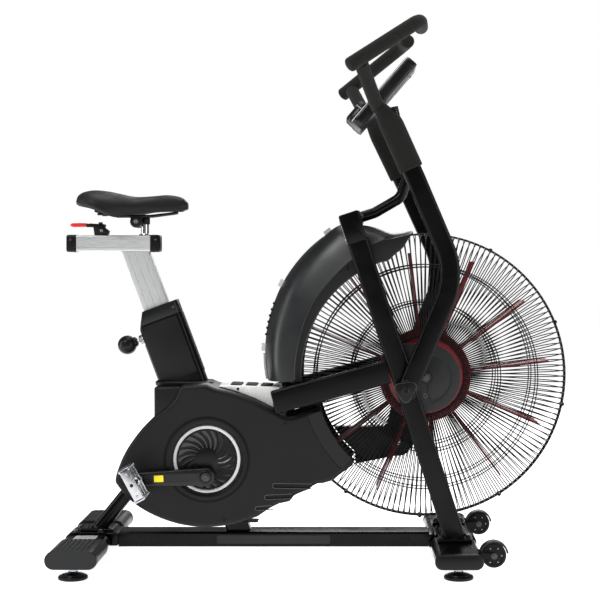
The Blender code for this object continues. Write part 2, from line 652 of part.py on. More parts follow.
# Handle arms
def arm_path(side):
    """The arm's middle line, from the pivot to the foot of the riser."""
    y = side * ARM_Y
    bends = [(0.231, y, 0.450), (0.3600, y, 0.7540), (0.2580, y, 0.9960), (0.1800, y, 1.1700)]
    return rounded_path(bends, 0.18, 5)


def bar_path(side):
    """The round bar, from the end of its rear stub through the bend to its inward end."""
    return rounded_path([
        (0.0900, side * 0.300, 1.2720), (0.2650, side * 0.212, 1.3960), (0.2720, side * 0.122, 1.3930)], 0.045, 4)


def riser(name, side, grow, finish):
    """The round tube from the arm's head out to the bar, narrowing where it enters the bar."""
    bends = [(0.1880, side * ARM_Y, 1.1520), (0.1560, side * 0.1700, 1.1900), (0.1160, side * 0.2780, 1.2800)]
    path = rounded_path(bends, 0.030, 3)
    away = (path[-1] - path[-2]).normalized()
    path = path[:-1] + [path[-1], path[-1] + away * (0.010 + grow)]
    sizes = [0.0155 + grow] * (len(path) - 1) + [0.0090 + grow]
    rings = [
        [point + (across * math.cos(t) + up * math.sin(t)) * size for t in (2 * math.pi * i / 14 for i in range(14))]
        for (point, across, up), size in zip(stations(path, ACROSS), sizes)
    ]
    return loft(name, rings, finish)


def lean_left_arm(target, side):
    """Turns a left-hand piece of the arm back by its rest angle about the pivot."""
    if side < 0:
        return
    turn = Matrix.Rotation(-LEFT_ARM_BACK, 4, "Y")
    target.data.transform(Matrix.Translation(PIVOT) @ turn @ Matrix.Translation(-PIVOT))


def handle_arms(steel, foam):
    for word, side in SIDES:
        pieces = []
        body = sweep("arm_" + word, arm_path(side), rounded_rect(ARM_WIDTH, ARM_DEPTH, 0.010, 2), steel)
        pieces.append(riser("riser", side, 0.0, steel))
        bar = bar_path(side)
        pieces.append(sweep("bar", bar, ellipse(0.0130, 0.0130, 12), steel))
        pieces.append(rod("boss", at_y(PIVOT, side * 0.1388), at_y(PIVOT, side * 0.1860), 0.0270, steel, 26))
        pieces.append(rod("stub", at_y(PIVOT, side * 0.1130), at_y(PIVOT, side * 0.1450), STUB_R, steel, 20))
        lean_left_arm(body, side)
        for piece in pieces:
            lean_left_arm(piece, side)
        tip = PIVOT + UPRIGHT_UP * LEVER_UP
        lever = belt_line(PIVOT, 0.0168, tip, 0.0085, 7)
        low, high = sorted((side * 0.1120, side * 0.1185))
        pieces.append(prism("lever", lever, low, high, steel))
        pieces.append(rod("lever_pin", at_y(tip, side * 0.1150), at_y(tip, side * 0.1275), 0.0040, steel, 12))
        for piece in pieces:
            fuse(body, piece)
        origin_at(body, PIVOT)
        foam_sleeves(word, side, foam)


def foam_sleeves(word, side, foam):
    """The foam on the arm, and the foam on the bar, each clear of the steel inside it."""
    y = side * ARM_Y
    straight = (Vector((0.1800, y, 1.1700)) - Vector((0.2580, y, 0.9960))).normalized()
    start = Vector((0.2580, y, 0.9960)) + straight * 0.030
    path = [start, start + straight * 0.128]
    sleeve = sweep("arm_foam_" + word, path, rounded_rect(0.044, 0.062, 0.020, 3), foam,
                   inner=rounded_rect(ARM_WIDTH + 0.0008, ARM_DEPTH + 0.0008, 0.010, 3))
    bar = bar_path(side)
    tail = bar[0] - (bar[1] - bar[0]).normalized() * 0.004
    nose = bar[-1] + (bar[-1] - bar[-2]).normalized() * 0.004
    line = [tail] + bar[1:-1] + [nose]
    grip = sweep("grip_" + word, line, ellipse(0.0185, 0.0185, 14), foam)
    core = [bar[0] - (bar[1] - bar[0]).normalized() * 0.0005] + bar[1:-1]
    core += [bar[-1] + (bar[-1] - bar[-2]).normalized() * 0.0005]
    hollow = sweep("grip_bore", core, ellipse(0.0135, 0.0135, 12), foam)
    notch = riser("riser_notch", side, 0.0010, foam)
    for piece in (sleeve, grip, hollow, notch):
        lean_left_arm(piece, side)
    cut(grip, hollow)
    cut(grip, notch)
    for piece in (sleeve, grip):
        origin_at(piece, PIVOT)


def link_rods(finish):
    """The rods inside the side tubes, hung on the pins of the arms' inner levers."""
    tip = PIVOT + UPRIGHT_UP * LEVER_UP
    rear = tip - SIDE_ALONG * 0.255
    for word, side in SIDES:
        outline = belt_line(rear, 0.0070, tip, 0.00699, 8)
        low, high = sorted((side * 0.1192, side * 0.1270))
        bar = prism("link_rod_" + word, outline, low, high, finish)
        cut(bar, rod("link_bore", at_y(tip, side * 0.10), at_y(tip, side * 0.14), 0.0040 + 0.0003, finish, 12))
        origin_at(bar, tip)


def console(finish):
    """A flat display housing, tilted up at the rider."""
    low, high = Vector((0.1030, 0, 1.1420)), Vector((0.2520, 0, 1.3140))
    along = (high - low).normalized()
    up = Vector((-along.z, 0, along.x))
    section = rounded_rect(0.200, 0.034, 0.008)
    rings = [[p + ACROSS * a + up * b for a, b in section] for p in (low, high)]
    body = loft("console", rings, finish)
    pod = rounded_rect(0.120, 0.050, 0.018)
    ends = (low - along * 0.001, low + along * 0.062)
    pod_rings = [[p + ACROSS * a + up * (b + 0.010) for a, b in pod] for p in ends]
    fuse(body, loft("console_pod", pod_rings, finish))
    cut(body, rod("mast_socket", (0.2145, 0, 1.1400), (0.2015, 0, 1.2050), 0.0162, finish, 16))


# Cranks and drive
def crank_set(steel, dark):
    bearing = 0.0200
    profile = [(0, -0.124)] + [(0.0090, -0.124), (0.0090, -0.1050), (0.0100, -0.1050), (0.0100, -0.040)]
    profile += [(bearing, -0.040), (bearing, -0.028), (0.0100, -0.028)]
    profile += [(r, -h) for r, h in reversed(profile)]
    turned("crank_axle", profile, (0, 0, 0), ACROSS, steel, 24).location = CRANK
    bore, rim, half = 0.0100 + TOUCH, CRANK_PULLEY_R, BELT_WIDTH / 2
    profile = [
        (bore, -0.010), (0.020, -0.010), (0.022, -half), (rim, -half), (rim, half), (bore, half),
    ]
    turned("drive_pulley", profile, (0, 0, 0), ACROSS, dark, 40, ring=True).location = at_y(CRANK, BELT_1_Y)


def pedal_axis(side):
    """The pedal spindle's centre line at y = 0: the right crank points back, the left one forward."""
    reach = Vector((math.cos(CRANK_DROP), 0, math.sin(CRANK_DROP))) * CRANK_LENGTH
    return CRANK + reach * side


def crank_arms(steel, dark, alloy):
    for word, side in SIDES:
        axis = pedal_axis(side)
        if side > 0:
            outline = belt_line(CRANK, 0.0230, axis, 0.0165, 8)
        else:
            outline = [(2 * CRANK.x - x, 2 * CRANK.z - z) for x, z in belt_line(CRANK, 0.0230, pedal_axis(1), 0.0165, 8)]
        near, far = side * (CRANK_Y - CRANK_WIDTH / 2), side * (CRANK_Y + CRANK_WIDTH / 2)
        low, high = sorted((near, far))
        arm = prism("crank_arm_" + word, outline, low, high, dark)
        soften(arm, 0.003)
        cut(arm, rod("axle_bore", at_y(CRANK, side * 0.09), at_y(CRANK, side * 0.1245), 0.0090 + TOUCH, dark))
        fuse(arm, rod("spindle", at_y(axis, side * 0.120), at_y(axis, side * 0.2290), 0.0060, steel, 16))
        pedal(word, side, at_y(axis, side * PEDAL_Y), alloy)


def pedal(word, side, centre, alloy):
    """A platform pedal: a rectangular frame with a barrel across its middle."""
    along = Vector((math.cos(PEDAL_PITCH), 0, math.sin(PEDAL_PITCH)))
    up = Vector((-along.z, 0, along.x))

    def rings(length, span):
        section = rounded_rect(length, span, 0.008)
        return [[centre + along * a + ACROSS * b + up * h for a, b in section]
                for h in (-PEDAL_THICK / 2, PEDAL_THICK / 2)]

    frame = loft("pedal_" + word, rings(PEDAL_LENGTH, PEDAL_SPAN), alloy,
                 rings(PEDAL_LENGTH - 0.016, PEDAL_SPAN - 0.010))
    half = PEDAL_SPAN / 2
    fuse(frame, rod("barrel", centre - ACROSS * (half - 0.002), centre + ACROSS * (half - 0.002), 0.0120, alloy, 16))
    inward = centre - ACROSS * side * (half + 0.01)
    cut(frame, rod("pedal_bore", inward, centre + ACROSS * side * (half - 0.003), 0.0060 + RUN, alloy, 16))
    origin_at(frame, centre)


def jackshaft(finish):
    """The shaft between the two belts, with its small and its large pulley."""
    small, large, half = JACK_SMALL_R, JACK_LARGE_R, BELT_WIDTH / 2
    profile = [
        (0, 0.0792), (0.0080, 0.0792), (0.0080, 0.0808), (small + 0.003, 0.0808), (small + 0.003, BELT_1_Y - half - 0.0006),
        (small, BELT_1_Y - half - 0.0006), (small, BELT_1_Y + half + 0.0003), (large, BELT_1_Y + half + 0.0003),
        (large, BELT_2_Y + half), (0.0080, BELT_2_Y + half), (0.0080, 0.1045), (0, 0.1045),
    ]
    turned("jackshaft", profile, (0, 0, 0), ACROSS, finish, 28).location = JACK


def belts(finish):
    rounds = (
        ("first_belt", CRANK, CRANK_PULLEY_R, JACK, JACK_SMALL_R, BELT_1_Y),
        ("second_belt", JACK, JACK_LARGE_R, FAN, FAN_PULLEY_R, BELT_2_Y),
    )
    for name, a, a_radius, b, b_radius, y in rounds:
        inner = belt_line(a, a_radius + BELT_LOOSE, b, b_radius + BELT_LOOSE, 16)
        outer = belt_line(a, a_radius + BELT_THICK, b, b_radius + BELT_THICK, 16)
        half = BELT_WIDTH / 2
        prism(name, outer, y - half, y + half, finish, hole=inner)


def guard_outline(inset):
    """The drive guard's outline (x, z), from the shroud's tip round both pulleys, and back to the shroud."""
    reach = CHEEK_R - 0.001 - inset

    def on_reach(z):
        return (FAN.x - math.sqrt(reach**2 - (FAN.z - z) ** 2), z)

    low, high = 0.2380 + inset, 0.3390 - inset
    jack, hub = GUARD_JACK_R - inset, GUARD_HUB_R - inset
    apart = FAN - JACK
    heading = math.degrees(math.atan2(apart.z, apart.x))
    open_by = math.degrees(math.asin((hub - jack) / apart.length))
    right, left = heading - 90 - open_by, heading + 90 + open_by
    corner = JACK.x - jack - 0.0005
    return (
        [on_reach(0.2720), (on_reach(0.2720)[0] + 0.003, low)]
        + [(JACK.x - 0.012, JACK.z - jack - 0.0005)]
        + arc(JACK, jack, -80, right, 6)
        + arc(FAN, hub, right, left, 10)
        + [(corner + 0.008, high + 0.004), (corner, high)]
        + [on_reach(high), on_reach(0.3050)]
    )


def drive_guard(plastic):
    """The tray between the belts and the cage, and the plate that closes it and carries both shafts."""
    tray = prism("drive_guard", guard_outline(0), GUARD_LOW_Y, GUARD_TOP_Y, plastic)
    cut(tray, prism("tray_hollow", guard_outline(GUARD_WALL), 0.0796, 0.2, plastic))
    cut(tray, block("belt_window", (0.0, 0.0796, 0.2430), (0.1120, 0.2, 0.3365), plastic))
    cut(tray, rod("jack_bore", at_y(JACK, 0.07), at_y(JACK, 0.09), 0.0080 + RUN, plastic))
    cut(tray, rod("hub_bore", at_y(FAN, 0.07), at_y(FAN, 0.09), 0.0190, plastic))
    plate = prism("hub_plate_left", guard_outline(0), GUARD_TOP_Y + TOUCH, 0.1055, plastic)
    cut(plate, rod("jack_bore", at_y(JACK, 0.09), at_y(JACK, 0.12), 0.0080 + RUN, plastic))
    cut(plate, rod("axle_bore", at_y(FAN, 0.09), at_y(FAN, 0.12), AXLE_R + TOUCH, plastic))


def hub_plate_right(plastic):
    outline = arc(FAN, 0.079, -112, 100, 16)
    rear = [upright_at(z) for z in (FAN.z + 0.078, FAN.z - 0.075)]
    outline += [(p.x - 0.010, p.z) for p in rear]
    plate = prism("hub_plate_right", outline, -0.1055, -0.0990, plastic)
    cut(plate, rod("axle_bore", at_y(FAN, -0.12), at_y(FAN, -0.08), AXLE_R + TOUCH, plastic))


def fan_axle(finish):
    nut, shaft = 0.0120, AXLE_R
    profile = [(0, -0.1240), (shaft, -0.1240), (shaft, -0.1150), (nut, -0.1150), (nut, -0.1060), (shaft, -0.1060)]
    profile += [(r, -h) for r, h in reversed(profile)]
    turned("fan_axle", profile, FAN, ACROSS, finish, 20)


def fan_wheel(finish):
    """The hub with its two discs and pulley, and the flat radial blades."""
    bore, half = AXLE_R + RUN, BELT_WIDTH / 2
    pulley = FAN_PULLEY_R
    profile = [
        (bore, -0.0490), (0.0200, -0.0490), (0.0200, -0.0430), (FAN_DISC_R, -0.0430), (FAN_DISC_R, -0.0400),
        (0.0400, -0.0400), (0.0400, 0.0400), (FAN_DISC_R, 0.0400), (FAN_DISC_R, 0.0430), (0.0155, 0.0430),
        (0.0155, BELT_2_Y - half - 0.0003), (pulley, BELT_2_Y - half - 0.0003), (pulley, BELT_2_Y + half),
        (bore, BELT_2_Y + half),
    ]
    wheel = turned("fan_wheel", profile, FAN, ACROSS, finish, 24, ring=True)
    shape = [(0.036, 0.0412), (0.140, 0.0412), (0.160, 0.0560), (FAN_R, 0.0560)]
    edge = shape + [(r, -y) for r, y in reversed(shape)]
    vertices, faces = [], []
    for i in range(BLADE_COUNT):
        angle = math.radians(7 + 360 / BLADE_COUNT * i)
        out = Vector((math.cos(angle), 0, math.sin(angle)))
        off = Vector((-math.sin(angle), 0, math.cos(angle))) * 0.00125
        base = len(vertices)
        count = len(edge)
        vertices += [FAN + out * r + ACROSS * y + off * way for way in (-1, 1) for r, y in edge]
        faces.append(tuple(base + j for j in reversed(range(count))))
        faces.append(tuple(base + count + j for j in range(count)))
        for j in range(count):
            k = (j + 1) % count
            faces.append((base + j, base + k, base + count + k, base + count + j))
    fuse(wheel, add_mesh("blades", vertices, faces, finish))
    origin_at(wheel, FAN)


# Cage and covers
def cage_profile():
    """(radius, half depth, is a ring) from the cage's mouth out to its rim."""
    return (
        (CAGE_MOUTH_R - 0.003, 0.0500, True), (CAGE_MOUTH_R + 0.003, 0.0510, False), (0.122, 0.0600, False),
        (0.150, 0.0730, False), (0.190, CAGE_HALF, True), (0.196, CAGE_HALF, False),
        (0.287, CAGE_HALF, True), (0.293, CAGE_HALF, False), (CAGE_FACE_R, 0.0710, False),
        (0.356, 0.0560, False), (CAGE_R, 0.0100, True), (CAGE_R, 0.0030, False),
    )


def cage_halves(finish):
    """Each half is a dished sheet of ribs and rings, thickened. The gaps between the ribs are real."""
    profile = cage_profile()
    step = 2 * math.pi / RIB_COUNT
    columns = []
    for i in range(RIB_COUNT):
        columns += [(i * step - RIB_HALF, True), (i * step + RIB_HALF, False)]
    for word, side in SIDES:
        vertices = [
            FAN + Vector((math.cos(angle) * r, side * y, math.sin(angle) * r))
            for angle, _ in columns for r, y, _ in profile
        ]
        rows = len(profile)
        faces = []
        for c, (_, rib) in enumerate(columns):
            after = (c + 1) % len(columns)
            for p in range(rows - 1):
                if rib or profile[p][2]:
                    faces.append((c * rows + p, after * rows + p, after * rows + p + 1, c * rows + p + 1))
        half = add_mesh("cage_" + word, vertices, faces, finish)
        work = bmesh.new()
        work.from_mesh(half.data)
        loose = [v for v in work.verts if not v.link_faces]
        bmesh.ops.delete(work, geom=loose, context="VERTS")
        work.to_mesh(half.data)
        work.free()
        thick = half.modifiers.new("wire", "SOLIDIFY")
        thick.thickness = WIRE
        thick.offset = 0


def shroud_outline():
    """The shroud's side outline (x, z), from the collar forwards over the top and round underneath."""
    top = [(-0.4180, 0.4640), (-0.4000, 0.4690), (-0.2850, 0.4690), (-0.2600, 0.4590), (-0.2130, 0.4475)]
    top += [(-0.1630, 0.4285), (-0.1216, 0.4080), (-0.0860, 0.3890), (-0.0600, 0.3865), (-0.0264, 0.3970)]
    front = arc(FAN, CHEEK_R, 196.5, 229.5, 5)
    below = [(0.0960, 0.2560), (0.0400, 0.2150), (-0.0200, 0.1860), (-0.0800, 0.1540), (-0.1530, 0.1215)]
    below += [(-0.2210, 0.1010), (-0.2900, 0.0950), (-0.3450, 0.1000), (-0.3950, 0.1140), (-0.4450, 0.1370)]
    below += [(-0.4860, 0.1660), (-0.5230, 0.2100), (-0.5237, 0.2200), (-0.5110, 0.2620), (-0.4905, 0.3030)]
    return top + front + below + [(-0.4570, 0.3485), (-0.4200, 0.3860)]


def inset_outline(outline, distance):
    """The outline moved inwards, each corner along the mean of its two sides' normals."""
    moved = []
    for i, here in enumerate(outline):
        before, after = outline[i - 1], outline[(i + 1) % len(outline)]
        into = Vector((here[0] - before[0], here[1] - before[1])).normalized()
        out = Vector((after[0] - here[0], after[1] - here[1])).normalized()
        normal = Vector((into.y + out.y, -into.x - out.x)).normalized()
        share = min(1 / max(normal.dot(Vector((into.y, -into.x))), 0.1), 1.4)
        moved.append((here[0] + normal.x * distance * share, here[1] + normal.y * distance * share))
    return moved


def half_shell(name, outline, side, half, finish):
    """One half of a moulded cover: open on the middle plane, with a softened outer edge."""
    levels = ((TOUCH / 2, 0.0), (half - 0.014, 0.0), (half - 0.004, 0.0040), (half, 0.0130))

    def rings(wall):
        deeper = (0, 0, wall / 2, wall)
        return [
            [Vector((x, side * (y - less), z)) for x, z in inset_outline(outline, inset + wall)]
            for (y, inset), less in zip(levels, deeper)
        ]

    return loft(name, rings(0), finish, rings(SHROUD_WALL), floor=True)


def shroud_halves(plastic):
    """Two shells that meet on the middle plane, slotted for the cage and open where the frame passes."""
    outline = shroud_outline()
    for word, side in SIDES:
        shell = half_shell("shroud_" + word, outline, side, SHROUD_HALF, plastic)
        cut(shell, rod("cage_slot", at_y(FAN, -0.0815), at_y(FAN, 0.0815), CAGE_R + 0.010, plastic, 64))
        cut(shell, rod("axle_hole", at_y(CRANK, -0.12), at_y(CRANK, 0.12), 0.0140, plastic))
        sleeve = rings_along([seat_point(-0.034), seat_point(0.06)],
                             rounded_rect(SLEEVE_WIDTH + 0.001, SLEEVE_DEPTH + 0.001, 0.014, 3))
        cut(shell, loft("sleeve_hole", sleeve, plastic))
        strut = [[centre + Vector((a, b, 0)) for a, b in rounded_rect(0.066, 0.031, 0.012)]
                 for centre in (Vector((-0.593, 0, 0.0738)), Vector((-0.430, 0, 0.2690)))]
        cut(shell, loft("strut_hole", strut, plastic))
        cut(shell, block("foot_hole", (-0.258, -0.0205, 0.07), (-0.172, 0.0205, 0.13), plastic))
        if side > 0:
            cut(shell, block("belt_hole", (0.02, 0.07, 0.236), (0.125, 0.0915, 0.342), plastic))


def center_cover(finish):
    """The light cover on top of the shroud, between the seat and the side tubes."""
    outline = [(-0.2580, 0.4595), (-0.2130, 0.4482), (-0.1630, 0.4293), (-0.1216, 0.4088), (-0.1065, 0.4010),
               (-0.1065, 0.4450), (-0.0945, 0.4450), (-0.0945, 0.4570), (-0.2200, 0.4620)]
    soften(prism("center_cover", outline, -0.060, 0.060, finish), 0.001)


def wind_guard_outline():
    """The guard's outline (x, z): a band that widens upwards round the fan, and a wing in front of the head box."""
    steps = 12
    turns = [182.0 + (120.0 - 182.0) * i / steps for i in range(steps + 1)]
    outer = []
    for turn in turns:
        outer += arc(FAN, WIND_OUTER_R + WIND_GROWTH * (182.0 - turn), turn, turn, 1)[:1]
    wing = [(0.1275, 0.8830), (0.1606, 0.8766), (0.1937, 0.8625), (0.2202, 0.8620), (0.2534, 0.8660)]
    wing += [(0.2267, 0.8220), (0.1850, 0.7880)]
    return outer + wing + arc(FAN, WIND_INNER_R, 112.0, 182.0, steps)


def wind_guard(plastic):
    """Two shells that close the back of the cage, slotted for the cage and notched for the head box."""
    outline = wind_guard_outline()
    for word, side in SIDES:
        shell = half_shell("wind_guard_" + word, outline, side, WIND_HALF, plastic)
        cut(shell, rod("wind_slot", at_y(FAN, -0.0815), at_y(FAN, 0.0815), CAGE_R + 0.010, plastic, 64))
        section = rounded_rect(HEAD_DEPTH + 0.001, HEAD_HEIGHT + 0.001, 0.006, 3)
        around = [[HEAD + UPRIGHT_FORE * a + UPRIGHT_UP * b + ACROSS * y for a, b in section] for y in (-0.2, 0.2)]
        cut(shell, loft("head_notch", around, plastic))


for leftover in list(bpy.data.objects):
    bpy.data.objects.remove(leftover)

BLACK_STEEL = material("black_steel", (0.018, 0.018, 0.020), 0.38)
BLACK_PLASTIC = material("black_plastic", (0.030, 0.030, 0.032), 0.55)
ZINC = material("zinc", (0.55, 0.56, 0.58), 0.35, 1.0)
ALUMINIUM = material("aluminium", (0.62, 0.63, 0.64), 0.32, 1.0)
PALE_COVER = material("pale_cover", (0.78, 0.78, 0.76), 0.45)
FOAM = material("foam", (0.035, 0.034, 0.032), 0.90)
LEATHER = material("saddle_cover", (0.025, 0.025, 0.026), 0.50)
RED_BLADE = material("fan_red", (0.30, 0.010, 0.018), 0.45)
RED_LEVER = material("lever_red", (0.75, 0.03, 0.03), 0.40)
RUBBER = material("rubber", (0.020, 0.020, 0.021), 0.80)

main_beam(BLACK_STEEL)
stabilizer("rear_stabilizer", REAR_X, REAR_Z, BEAM_REAR_X, BLACK_STEEL)
stabilizer("front_stabilizer", FRONT_X, FRONT_Z, BEAM_FRONT_X, BLACK_STEEL)
rear_caps(BLACK_PLASTIC)
feet(RUBBER)
transport_wheels(BLACK_STEEL, RUBBER)
rear_strut(BLACK_STEEL)
seat_tube(BLACK_STEEL)
seat_sleeve(BLACK_PLASTIC)
seat_post(ALUMINIUM)
slider_rail(ALUMINIUM, BLACK_PLASTIC)
saddle_carriage(ZINC)
saddle_frame(BLACK_STEEL)
saddle(LEATHER)
seat_lever(RED_LEVER)
height_knob(BLACK_PLASTIC)
uprights(BLACK_STEEL)
head_box(BLACK_STEEL)
console_mast(BLACK_STEEL)
side_tubes(BLACK_STEEL)
handle_arms(BLACK_STEEL, FOAM)
link_rods(ZINC)
console(BLACK_PLASTIC)
crank_set(ZINC, BLACK_PLASTIC)
crank_arms(ZINC, BLACK_STEEL, ALUMINIUM)
jackshaft(ZINC)
belts(RUBBER)
drive_guard(BLACK_PLASTIC)
hub_plate_right(BLACK_PLASTIC)
fan_axle(ZINC)
fan_wheel(RED_BLADE)
cage_halves(BLACK_STEEL)
shroud_halves(BLACK_PLASTIC)
center_cover(PALE_COVER)
wind_guard(BLACK_PLASTIC)
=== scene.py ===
"""Air bike: the looks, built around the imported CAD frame. Metres, +Z up, +X forwards, +Y to the left."""

import json
import math

import bmesh
import bpy
from mathutils import Matrix, Vector


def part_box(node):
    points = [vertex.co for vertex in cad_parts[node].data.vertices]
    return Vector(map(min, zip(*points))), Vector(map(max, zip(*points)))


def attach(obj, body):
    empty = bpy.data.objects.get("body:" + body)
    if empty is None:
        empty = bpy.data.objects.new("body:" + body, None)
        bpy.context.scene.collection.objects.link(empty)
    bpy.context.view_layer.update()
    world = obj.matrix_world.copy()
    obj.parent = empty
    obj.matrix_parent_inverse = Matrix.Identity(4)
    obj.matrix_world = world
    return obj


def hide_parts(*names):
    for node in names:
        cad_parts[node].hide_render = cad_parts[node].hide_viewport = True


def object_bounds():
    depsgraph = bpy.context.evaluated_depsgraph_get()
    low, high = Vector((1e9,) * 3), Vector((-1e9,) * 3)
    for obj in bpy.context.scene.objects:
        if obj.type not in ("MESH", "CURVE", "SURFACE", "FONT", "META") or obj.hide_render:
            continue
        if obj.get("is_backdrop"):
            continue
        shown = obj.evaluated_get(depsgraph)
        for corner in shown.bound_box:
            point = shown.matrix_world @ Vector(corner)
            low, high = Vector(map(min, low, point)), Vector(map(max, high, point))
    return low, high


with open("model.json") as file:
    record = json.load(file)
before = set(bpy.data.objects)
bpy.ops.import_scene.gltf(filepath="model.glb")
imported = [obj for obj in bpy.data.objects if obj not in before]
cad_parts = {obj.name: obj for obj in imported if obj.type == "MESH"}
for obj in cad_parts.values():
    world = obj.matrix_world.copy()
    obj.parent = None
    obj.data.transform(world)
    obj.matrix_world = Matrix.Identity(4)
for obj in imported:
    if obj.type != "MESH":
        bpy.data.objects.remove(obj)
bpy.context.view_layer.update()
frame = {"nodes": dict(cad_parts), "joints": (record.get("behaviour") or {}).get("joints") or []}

SIDES = (("right", -1), ("left", 1))
ACROSS = Vector((0, 1, 0))
UP = Vector((0, 0, 1))
HINGES = {joint["name"]: Vector(joint["pos_m"]) for joint in frame["joints"] if "pos_m" in joint}
FAN = HINGES["fan_spin"]
CRANK = HINGES["crank_spin"]
PIVOT = HINGES["handle_right_swing"]

# The seat's line, from the foot of the sleeve up the post
SEAT_UP = Vector(next(j["axis"] for j in frame["joints"] if j["name"] == "seat_height")).normalized()
SEAT_FORE = Vector((SEAT_UP.z, 0, -SEAT_UP.x))
SEAT_FOOT = Vector((-0.3555, 0, 0.4740))

# The uprights' line, from the front stabilizer to the middle of the head box
UPRIGHT_UP = Vector((-0.257, 0, 0.763)).normalized()
UPRIGHT_FORE = Vector((UPRIGHT_UP.z, 0, -UPRIGHT_UP.x))
UPRIGHT_FOOT = Vector((0.3605, 0, 0.0725))
UPRIGHT_Y = 0.121
HEAD = Vector((0.0965, 0, 0.8755))

# The side tubes' line, from their rear ends to the uprights
SIDE_RISE = math.radians(15)
SIDE_ALONG = Vector((math.cos(SIDE_RISE), 0, math.sin(SIDE_RISE)))
SIDE_UP = Vector((-SIDE_ALONG.z, 0, SIDE_ALONG.x))
SIDE_REAR = Vector((-0.106, 0, 0.4250))

# The stabilizer tubes' middle lines and section
FRONT_TUBE_X, FRONT_TUBE_Z = 0.359, 0.0470
REAR_TUBE_X, REAR_TUBE_Z = -0.599, 0.0515
TUBE_DEEP, TUBE_TALL = 0.118, 0.036

# The inner lever of a handle arm, and how far the left arm stands back at rest
LEVER_LENGTH = 0.058
LEFT_ARM_BACK = math.radians(1.5)


def at_y(point, y):
    """The point moved across the bike to a given y."""
    return Vector((point.x, y, point.z))


def outward(turn):
    """The direction at an angle in the side view, from +X towards +Z."""
    return Vector((math.cos(turn), 0, math.sin(turn)))


def onward(turn):
    """The direction in which that angle grows."""
    return Vector((-math.sin(turn), 0, math.cos(turn)))


def span(side, near, far):
    """Two distances from the bike's middle plane as y values on one side, the lower first."""
    return sorted((side * near, side * far))


def side_view(points):
    """Points as (x, z) pairs, for an outline."""
    return [(p.x, p.z) for p in points]


def seat_point(along, fore=0.0, across=0.0):
    """A point a distance up the seat's line, forward of it and across it."""
    return SEAT_FOOT + SEAT_UP * along + SEAT_FORE * fore + ACROSS * across


# Materials: every texture is in object space, in metres, so its scale is per metre
def principled(name, colour, roughness, metallic=0.0, coat=0.0, sheen=0.0, specular=0.22):
    """A plain material, to which the textures are added."""
    made = bpy.data.materials.new(name)
    made.use_nodes = True
    shader = made.node_tree.nodes["Principled BSDF"]
    shader.inputs["Base Color"].default_value = (*colour, 1)
    shader.inputs["Roughness"].default_value = roughness
    shader.inputs["Metallic"].default_value = metallic
    shader.inputs["Coat Weight"].default_value = coat
    shader.inputs["Coat Roughness"].default_value = 0.12
    shader.inputs["Sheen Weight"].default_value = sheen
    shader.inputs["Specular IOR Level"].default_value = specular
    return made


def texture(made, kind, scale, detail=2.0, stretch=(1, 1, 1)):
    """A procedural texture's output, in the object's own space."""
    tree = made.node_tree
    coordinates = tree.nodes.new("ShaderNodeTexCoord")
    mapping = tree.nodes.new("ShaderNodeMapping")
    mapping.inputs["Scale"].default_value = stretch
    tree.links.new(coordinates.outputs["Object"], mapping.inputs["Vector"])
    node = tree.nodes.new("ShaderNodeTexNoise" if kind == "noise" else "ShaderNodeTexVoronoi")
    node.inputs["Scale"].default_value = scale
    if kind == "noise":
        node.inputs["Detail"].default_value = detail
    tree.links.new(mapping.outputs["Vector"], node.inputs["Vector"])
    return node.outputs["Fac" if kind == "noise" else "Distance"]


def ramp(made, source, low, high, low_value, high_value):
    """Maps a texture between two values or two colours."""
    tree = made.node_tree
    node = tree.nodes.new("ShaderNodeValToRGB")
    for element, place, value in zip(node.color_ramp.elements, (low, high), (low_value, high_value)):
        element.position = place
        element.color = (*value, 1) if isinstance(value, tuple) else (value, value, value, 1)
    tree.links.new(source, node.inputs["Fac"])
    return node.outputs["Color"]


def vary(made, socket, source, low_value, high_value, low=0.35, high=0.65):
    """Drives one of the shader's inputs with a texture."""
    shader = made.node_tree.nodes["Principled BSDF"]
    made.node_tree.links.new(ramp(made, source, low, high, low_value, high_value), shader.inputs[socket])


def relief(made, *layers):
    """Bumps the surface with (texture, strength, depth in metres) layers, one over the other."""
    tree = made.node_tree
    below = None
    for source, strength, depth in layers:
        bump = tree.nodes.new("ShaderNodeBump")
        bump.inputs["Strength"].default_value = strength
        bump.inputs["Distance"].default_value = depth
        tree.links.new(source, bump.inputs["Height"])
        if below:
            tree.links.new(below, bump.inputs["Normal"])
        below = bump.outputs["Normal"]
    tree.links.new(below, tree.nodes["Principled BSDF"].inputs["Normal"])


def powder_coat(name, shade, roughness):
    made = principled(name, shade, roughness, coat=0.04, specular=0.12)
    vary(made, "Roughness", texture(made, "noise", 14), roughness - 0.05, roughness + 0.09)
    vary(made, "Base Color", texture(made, "noise", 5, 4), shade, tuple(c * 1.35 for c in shade))
    relief(made, (texture(made, "noise", 900), 0.10, 0.0004))
    return made


def moulded(name, shade, roughness, grain=0.22, specular=0.22):
    made = principled(name, shade, roughness, specular=specular)
    vary(made, "Roughness", texture(made, "noise", 9, 3), roughness - 0.05, roughness + 0.08)
    vary(made, "Base Color", texture(made, "noise", 6, 3), shade, tuple(c * 1.22 for c in shade))
    relief(made, (texture(made, "noise", 1700, 3), grain, 0.0003),
           (texture(made, "noise", 18), 0.05, 0.002))
    return made


def foam_rubber(name, shade):
    made = principled(name, shade, 0.93, sheen=0.06, specular=0.15)
    vary(made, "Base Color", texture(made, "noise", 260, 5), shade, tuple(c * 1.7 for c in shade), 0.3, 0.7)
    relief(made, (texture(made, "voronoi", 1100), 0.35, 0.0006),
           (texture(made, "noise", 90, 4), 0.25, 0.0012))
    return made


